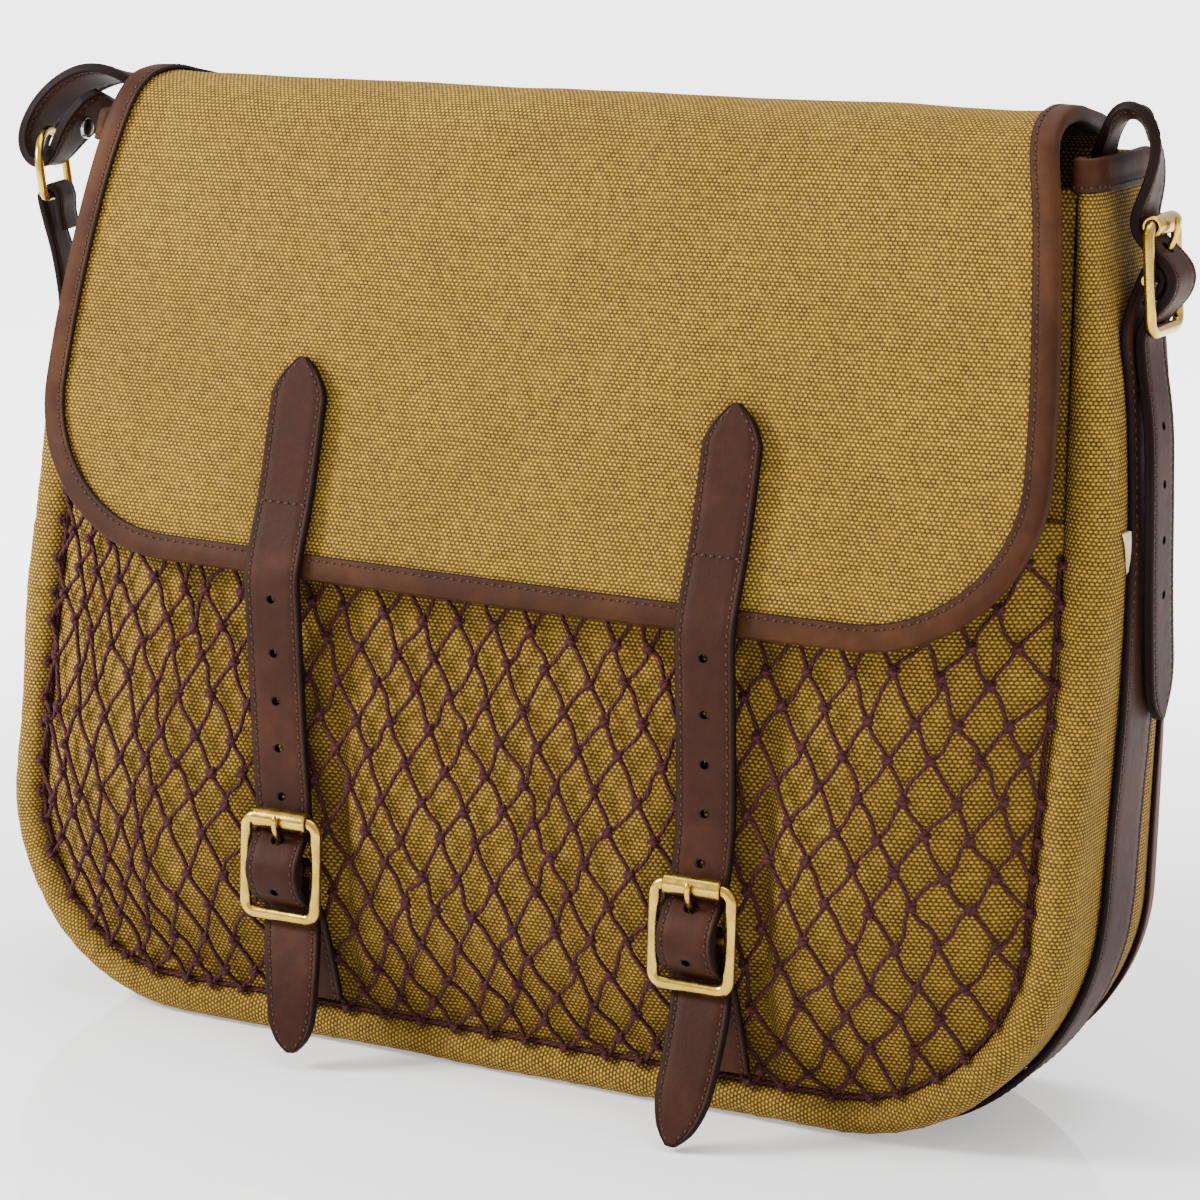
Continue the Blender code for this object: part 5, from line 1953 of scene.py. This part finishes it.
@dataclass
class ShoulderStrap:
    """The two-layer shoulder strap, ring, buckle and press stud, put away inside the bag."""

    finishes: Finishes
    rows: Sequence[Row]
    holes: tuple = (248.0, 229.0, 210.0, 191.0)
    hole: float = 1.5
    tongue_hole: Point2 = (306.0, 2.5)
    thick: float = 3.6
    sewn_x: float = 182.0
    sewn_z: float = 150.0
    buckle: tuple = (212.0, 13.0, 297.5)
    lean: float = 5.0
    tongue: tuple = ((7.0, -1.7), (8.4, 0.6), (10.4, 2.8), (13.7, 4.5), (17.4, 5.4), (20.1, 5.2))
    ring_bar: tuple = (-221.0, 2.0, 293.2)
    ring_turn: float = -14.0
    ring_lean: float = 9.0
    ring_half: float = 14.2
    ring_wire: float = 1.6
    stud_dome: tuple = ((-1.0, 0.0), (-1.0, 3.3), (0.2, 3.3), (0.7, 2.8), (1.0, 1.6), (1.1, 0.0))
    stud_rim: tuple = ((-1.0, 3.1), (-1.0, 4.2), (-0.2, 4.3), (0.4, 3.9), (0.3, 3.2))

    def build(self) -> None:
        """Makes the strap and what is on it."""
        filler = (0, 0, 22)
        rows = [(*row, *filler[len(row) - 3:]) for row in self.rows]
        band = Band(rows, self.thick, Vector((0, 1, 0)), step=1.2, relaxed=16)
        band.strip("shoulder_strap_sewn", self.finishes.hide, ["shoulder_strap"],
                   [(z, self.hole) for z in self.holes] + [self.tongue_hole])
        sewing = Stitches()
        band.sew(sewing, faces=(1, -1),
                 keep=lambda point: abs(point.x) > self.sewn_x and point.z > self.sewn_z)
        sewing.piece("shoulder_strap_stitches", self.finishes.thread)
        lean = math.radians(self.lean)
        RollerBuckle(self.finishes, "shoulder_buckle", Vector(self.buckle), Vector((0, 1, 0)),
                     Vector((-math.sin(lean), 0, math.cos(lean))), self.tongue).build()
        self.ring()
        self.stud()

    def ring(self) -> None:
        """The brass D ring."""
        turn, lean = math.radians(self.ring_turn), math.radians(self.ring_lean)
        wide = Vector((math.sin(turn), math.cos(turn), 0))
        outward = Vector((-math.cos(turn), math.sin(turn), 0))
        high = Vector((0, 0, 1)) * math.cos(lean) + outward * math.sin(lean)
        half = self.ring_half
        corner = [(half - 3, 0), (half - 1.3, 0.5), (half - 0.3, 1.6), (half, 4.0)]
        bow = [math.pi * i / 20 for i in range(21)]
        outline = ([(-half + 3, 0), (-half / 2, 0), (0, 0), (half / 2, 0)] + corner
                   + [(half * math.cos(t), 10 + half * math.sin(t)) for t in bow]
                   + [(-a, b) for a, b in reversed(corner)])
        points = [Vector(self.ring_bar) + wide * a + high * b for a, b in outline]
        bm = tube(points, self.ring_wire, sides=12, loop=True)
        add_piece("ring_d_brass", bm, self.finishes.brass, ["d_ring"])

    def stud(self) -> None:
        """The press stud: a dark dome in a bright rim."""
        low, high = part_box("press_stud")
        centre = (low + high) / 2 / MM
        axis = Vector((1, 0, 0))
        add_piece("stud_dome", turned(self.stud_dome, centre, axis), self.finishes.dark_metal,
                  ["press_stud"])
        add_piece("stud_rim", turned(self.stud_rim, centre, axis), self.finishes.steel)


@dataclass
class SideLabel:
    """The folded cotton tab at the right strip's front edge, left blank."""

    shape: BagShape
    finishes: Finishes
    front_y: float = -6.0
    top: float = 214.0
    width: float = 10.0
    drop: float = 20.0
    taper: float = 0.82
    steps: int = 12
    section: tuple = ((0, 0), (0, 0.8), (0.25, 1.0), (0.5, 0.9), (0.75, 0.95), (1, 0.8), (1, 0),
                      (0.5, 0), (0, 0))

    def build(self) -> None:
        """Makes the tab."""
        rows, uvs = [], []
        for i in range(self.steps + 1):
            wide = self.width * (1 - self.taper * i / self.steps)
            z = self.top - self.drop * i / self.steps
            x = self.shape.half("side", z) + 0.6 + 0.3 * math.sin(i * 0.6)
            rows.append([Vector((x + out, self.front_y - wide * back, self.shape.slanted(x, z)))
                         for back, out in self.section])
            uvs.append([(point.y, z) for point in rows[-1]])
        add_piece("side_tab", grid_mesh(rows, uvs, ring=True), self.finishes.tape, ["side_label"])


@dataclass
class Studio:
    """The pale floor, soft lights and the camera that the bag was photographed with."""

    azimuth: float = 26.0
    elevation: float = 12.0
    roll: float = 1.7
    focal_px: float = 4164.5
    frame_px: float = 1200.0
    distance: float = 1495.7
    middle: tuple = (0.0, 0.0, 180.0)
    right: float = 11.2
    rise: float = -15.6
    sensor: float = 36.0
    lamps: tuple = (("key", (-1.3, -0.9, 1.05), 0.5, 66.0), ("fill", (1.9, -1.2, 0.9), 1.6, 2.0),
                    ("top", (0.0, 0.3, 2.0), 1.6, 46.0))
    lit: tuple = (0.0, 0.0, 0.17)
    sky_strength: float = 1.2
    floor_radius: float = 9.0

    def build(self) -> None:
        """Makes the stage, the lights and the camera."""
        self.floor()
        self.sky()
        for lamp in self.lamps:
            self.lamp(*lamp)
        self.camera()

    def floor(self) -> None:
        """A broad round floor."""
        bm = bmesh.new()
        bmesh.ops.create_circle(bm, cap_ends=True, segments=96, radius=self.floor_radius)
        mesh = made_mesh("floor", bm)
        mesh.materials.append(Gloss().material())
        floor = stood("floor", mesh)

    def sky(self) -> None:
        """A plain near-white surround."""
        world = bpy.data.worlds.new("studio")
        world.use_nodes = True
        back = world.node_tree.nodes["Background"]
        back.inputs["Color"].default_value = (1.0, 1.0, 1.0, 1.0)
        back.inputs["Strength"].default_value = self.sky_strength
        bpy.context.scene.world = world

    def lamp(self, name: str, place: tuple[float, float, float], size: float, watts: float) -> None:
        """A soft square lamp that faces the bag.

        Args:
            name: its name.
            place: where it stands, in metres.
            size: its side.
            watts: its power.
        """
        light = bpy.data.lights.new(name, "AREA")
        light.energy = watts
        light.size = size
        lamp = stood(name, light)
        lamp.location = place
        way = Vector(self.lit) - Vector(place)
        lamp.rotation_euler = way.to_track_quat("-Z", "Y").to_euler()

    def camera(self) -> None:
        """The photograph's camera."""
        a, e, roll = (math.radians(angle) for angle in (self.azimuth, self.elevation, self.roll))
        right = Vector((math.cos(a), math.sin(a), 0))
        ahead = Vector((-math.sin(a) * math.cos(e), math.cos(a) * math.cos(e), -math.sin(e)))
        up = right.cross(ahead)
        place = (Vector(self.middle) + right * self.right + up * self.rise
                 - ahead * self.distance)
        cam_right = right * math.cos(roll) + up * math.sin(roll)
        cam_up = up * math.cos(roll) - right * math.sin(roll)
        data = bpy.data.cameras.new("camera")
        data.sensor_width = self.sensor
        data.lens = self.sensor * self.focal_px / self.frame_px
        camera = stood("camera", data)
        camera.matrix_world = placing(place * MM, (cam_right, cam_up, -ahead), Vector((1, 1, 1)))
        bpy.context.scene.camera = camera


# ---- The straps' paths, in millimetres and degrees
# The front straps share STRAP_YZ, each row a y, a z and a width; their tails give x too.
# SHOULDER gives x, y and z, and the turn, lean and width where they aren't 0, 0 and 22.
# The folds give how far out from the bag's middle, y, z and the width.

STRAP_YZ = (
    (-45.9, 250, 2), (-47.1, 245, 13), (-48.8, 238, 21), (-50.2, 232, 22), (-57.1, 203, 22),
    (-63.7, 184, 22), (-67, 173, 22), (-67, 160, 22), (-66.2, 128, 22), (-67, 108, 22),
    (-69, 96, 22), (-70.1, 89.5, 21.4), (-71.1, 84.6, 21), (-78.2, 78.4, 21), (-82.2, 70.8, 21),
    (-79.2, 62.4, 21), (-72.6, 57.4, 21))
LEFT_X = (-84.5, -84.5, -84.5, -84.5, -84.5, -84.5, -84.2, -83.4, -81.6, -79.6, -77.2, -75.8,
          -74.9, -74.3, -73.8, -73.3, -72.8)
LEFT_TAIL = ((-71.8, -70.9, 53.2, 21.4), (-69.4, -74.4, 44, 22), (-66.2, -79.6, 30, 20.5),
             (-64.6, -82.4, 17, 18), (-63.9, -83.6, 10, 12), (-63.5, -84.2, 6, 3))
RIGHT_X = (84.5, 84.5, 84.5, 84.5, 84.5, 84.5, 84.8, 85.4, 86.6, 87.6, 87.8, 87.9, 87.9, 87.9,
           88.0, 88.4, 88.9)
RIGHT_TAIL = ((89.8, -70.9, 53.2, 21.4), (91.6, -75.4, 44, 22), (92.6, -82.6, 31, 21.5),
              (92.2, -88.6, 17, 20), (91.2, -92, 7, 13), (90.6, -93.6, 1.8, 3))
SHOULDER = (
    (-204, 10, 330.5, 6, 14, 14), (-206, 9.2, 328, 6, 14, 22), (-212.5, 6, 321, 2, 10, 22),
    (-217.2, 3.5, 313.5, -6, 6, 21), (-220.4, 2.4, 307.2, -12, 3, 20), (-226, 2, 304.2, -14, 2, 20),
    (-231.2, 2.2, 307.6, -12, 3, 20), (-232.8, 3.6, 314, -6, 6, 21),
    (-228.4, 6.6, 323.5, 2, 12, 22), (-220.8, 10, 332, 6, 16, 22),
    (-211, 13, 337.6, 7, 16, 22), (-201, 15.4, 338.4, 6, 12, 22),
    (-192.6, 17.6, 335.2, 4, 8, 22), (-187, 19.6, 327.8, 2, 4, 22), (-184.2, 22.4, 315),
    (-180, 27, 280), (-174, 29.5, 220), (-158, 30, 150), (-126, 30, 82), (-76, 30, 32), (0, 30, 10),
    (76, 30, 32), (126, 30, 82), (158, 30, 150), (174, 29.5, 220), (180.5, 26.5, 280),
    (184.2, 22.4, 315, -2, 0, 22), (185.8, 20.4, 333, -4, 2, 22), (188.2, 18.4, 342.2, -9, 5, 22),
    (193.2, 15.8, 349.2, -17, 8, 22), (199.4, 13.6, 351.4, -23, 9, 22),
    (205.2, 12.2, 347.2, -23, 8, 22), (207.8, 11.8, 338.2, -15, 5, 22),
    (206.8, 12.3, 327.6, -6, 2, 22), (204.7, 13, 320), (204.3, 13, 313.2), (208.8, 13, 308.3),
    (214.6, 13, 303.9), (218.8, 13, 299.4), (218.8, 13, 295.4), (216.6, 13, 290.2),
    (212.2, 13, 285.8), (209.6, 12.6, 282.6), (208.8, 12, 278.6), (210.4, 10.4, 269),
    (215.4, 6.6, 249), (218.2, 3.4, 225), (219, 6.2, 190), (218.8, 12.4, 162),
    (218.6, 14.4, 153, 0, 0, 16), (218.4, 16.2, 146, 0, 0, 3))
RIGHT_FOLD = (
    (208.9, 13, 288.6, 20), (211.8, 13, 291.4, 20), (214, 13, 294.8, 20), (214.7, 13, 297.6, 20),
    (213.6, 13, 300.1, 20), (211, 13, 301.2, 20), (208.4, 13, 300.1, 20), (207.2, 13, 297.2, 20),
    (205.9, 12.5, 291, 22))
LEFT_FOLD = (
    (216, 2, 280.5, 18), (217.4, 2, 287, 18), (217.6, 2, 292.6, 18), (218.6, 2, 295.6, 18),
    (221, 2, 296.8, 18), (223.4, 2, 295.6, 18), (224.6, 2, 293, 18), (222.4, 2, 284, 18),
    (218.2, 2, 270, 20), (214.8, 2, 252, 24))


def main() -> None:
    """Builds the bag and its studio, and notes each part."""
    logging.basicConfig(level=logging.INFO, format="%(name)s: %(message)s")
    shape, finishes = BagShape(), Finishes()
    Studio().build()
    LOG.info("studio")
    CanvasBody(shape, finishes).build()
    pocket = FrontPocket(shape, finishes)
    pocket.build()
    Netting(shape, finishes, pocket).build()
    Flap(shape, finishes).build()
    for side, xs, tail, buckle_x in ((Side.LEFT, LEFT_X, LEFT_TAIL, -73.8),
                                     (Side.RIGHT, RIGHT_X, RIGHT_TAIL, 87.9)):
        rows = [(x, *rest) for x, rest in zip(xs, STRAP_YZ)] + list(tail)
        FrontStrap(finishes, side, rows, buckle_x).build()
    SideStrip(shape, finishes, Side.LEFT, LEFT_FOLD, 2.0, 238.0, turn=-14.0).build()
    SideStrip(shape, finishes, Side.RIGHT, RIGHT_FOLD, 10.0, 276.0, lean=22.0).build()
    ShoulderStrap(finishes, SHOULDER).build()
    SideLabel(shape, finishes).build()


if __name__ == "__main__":
    main()
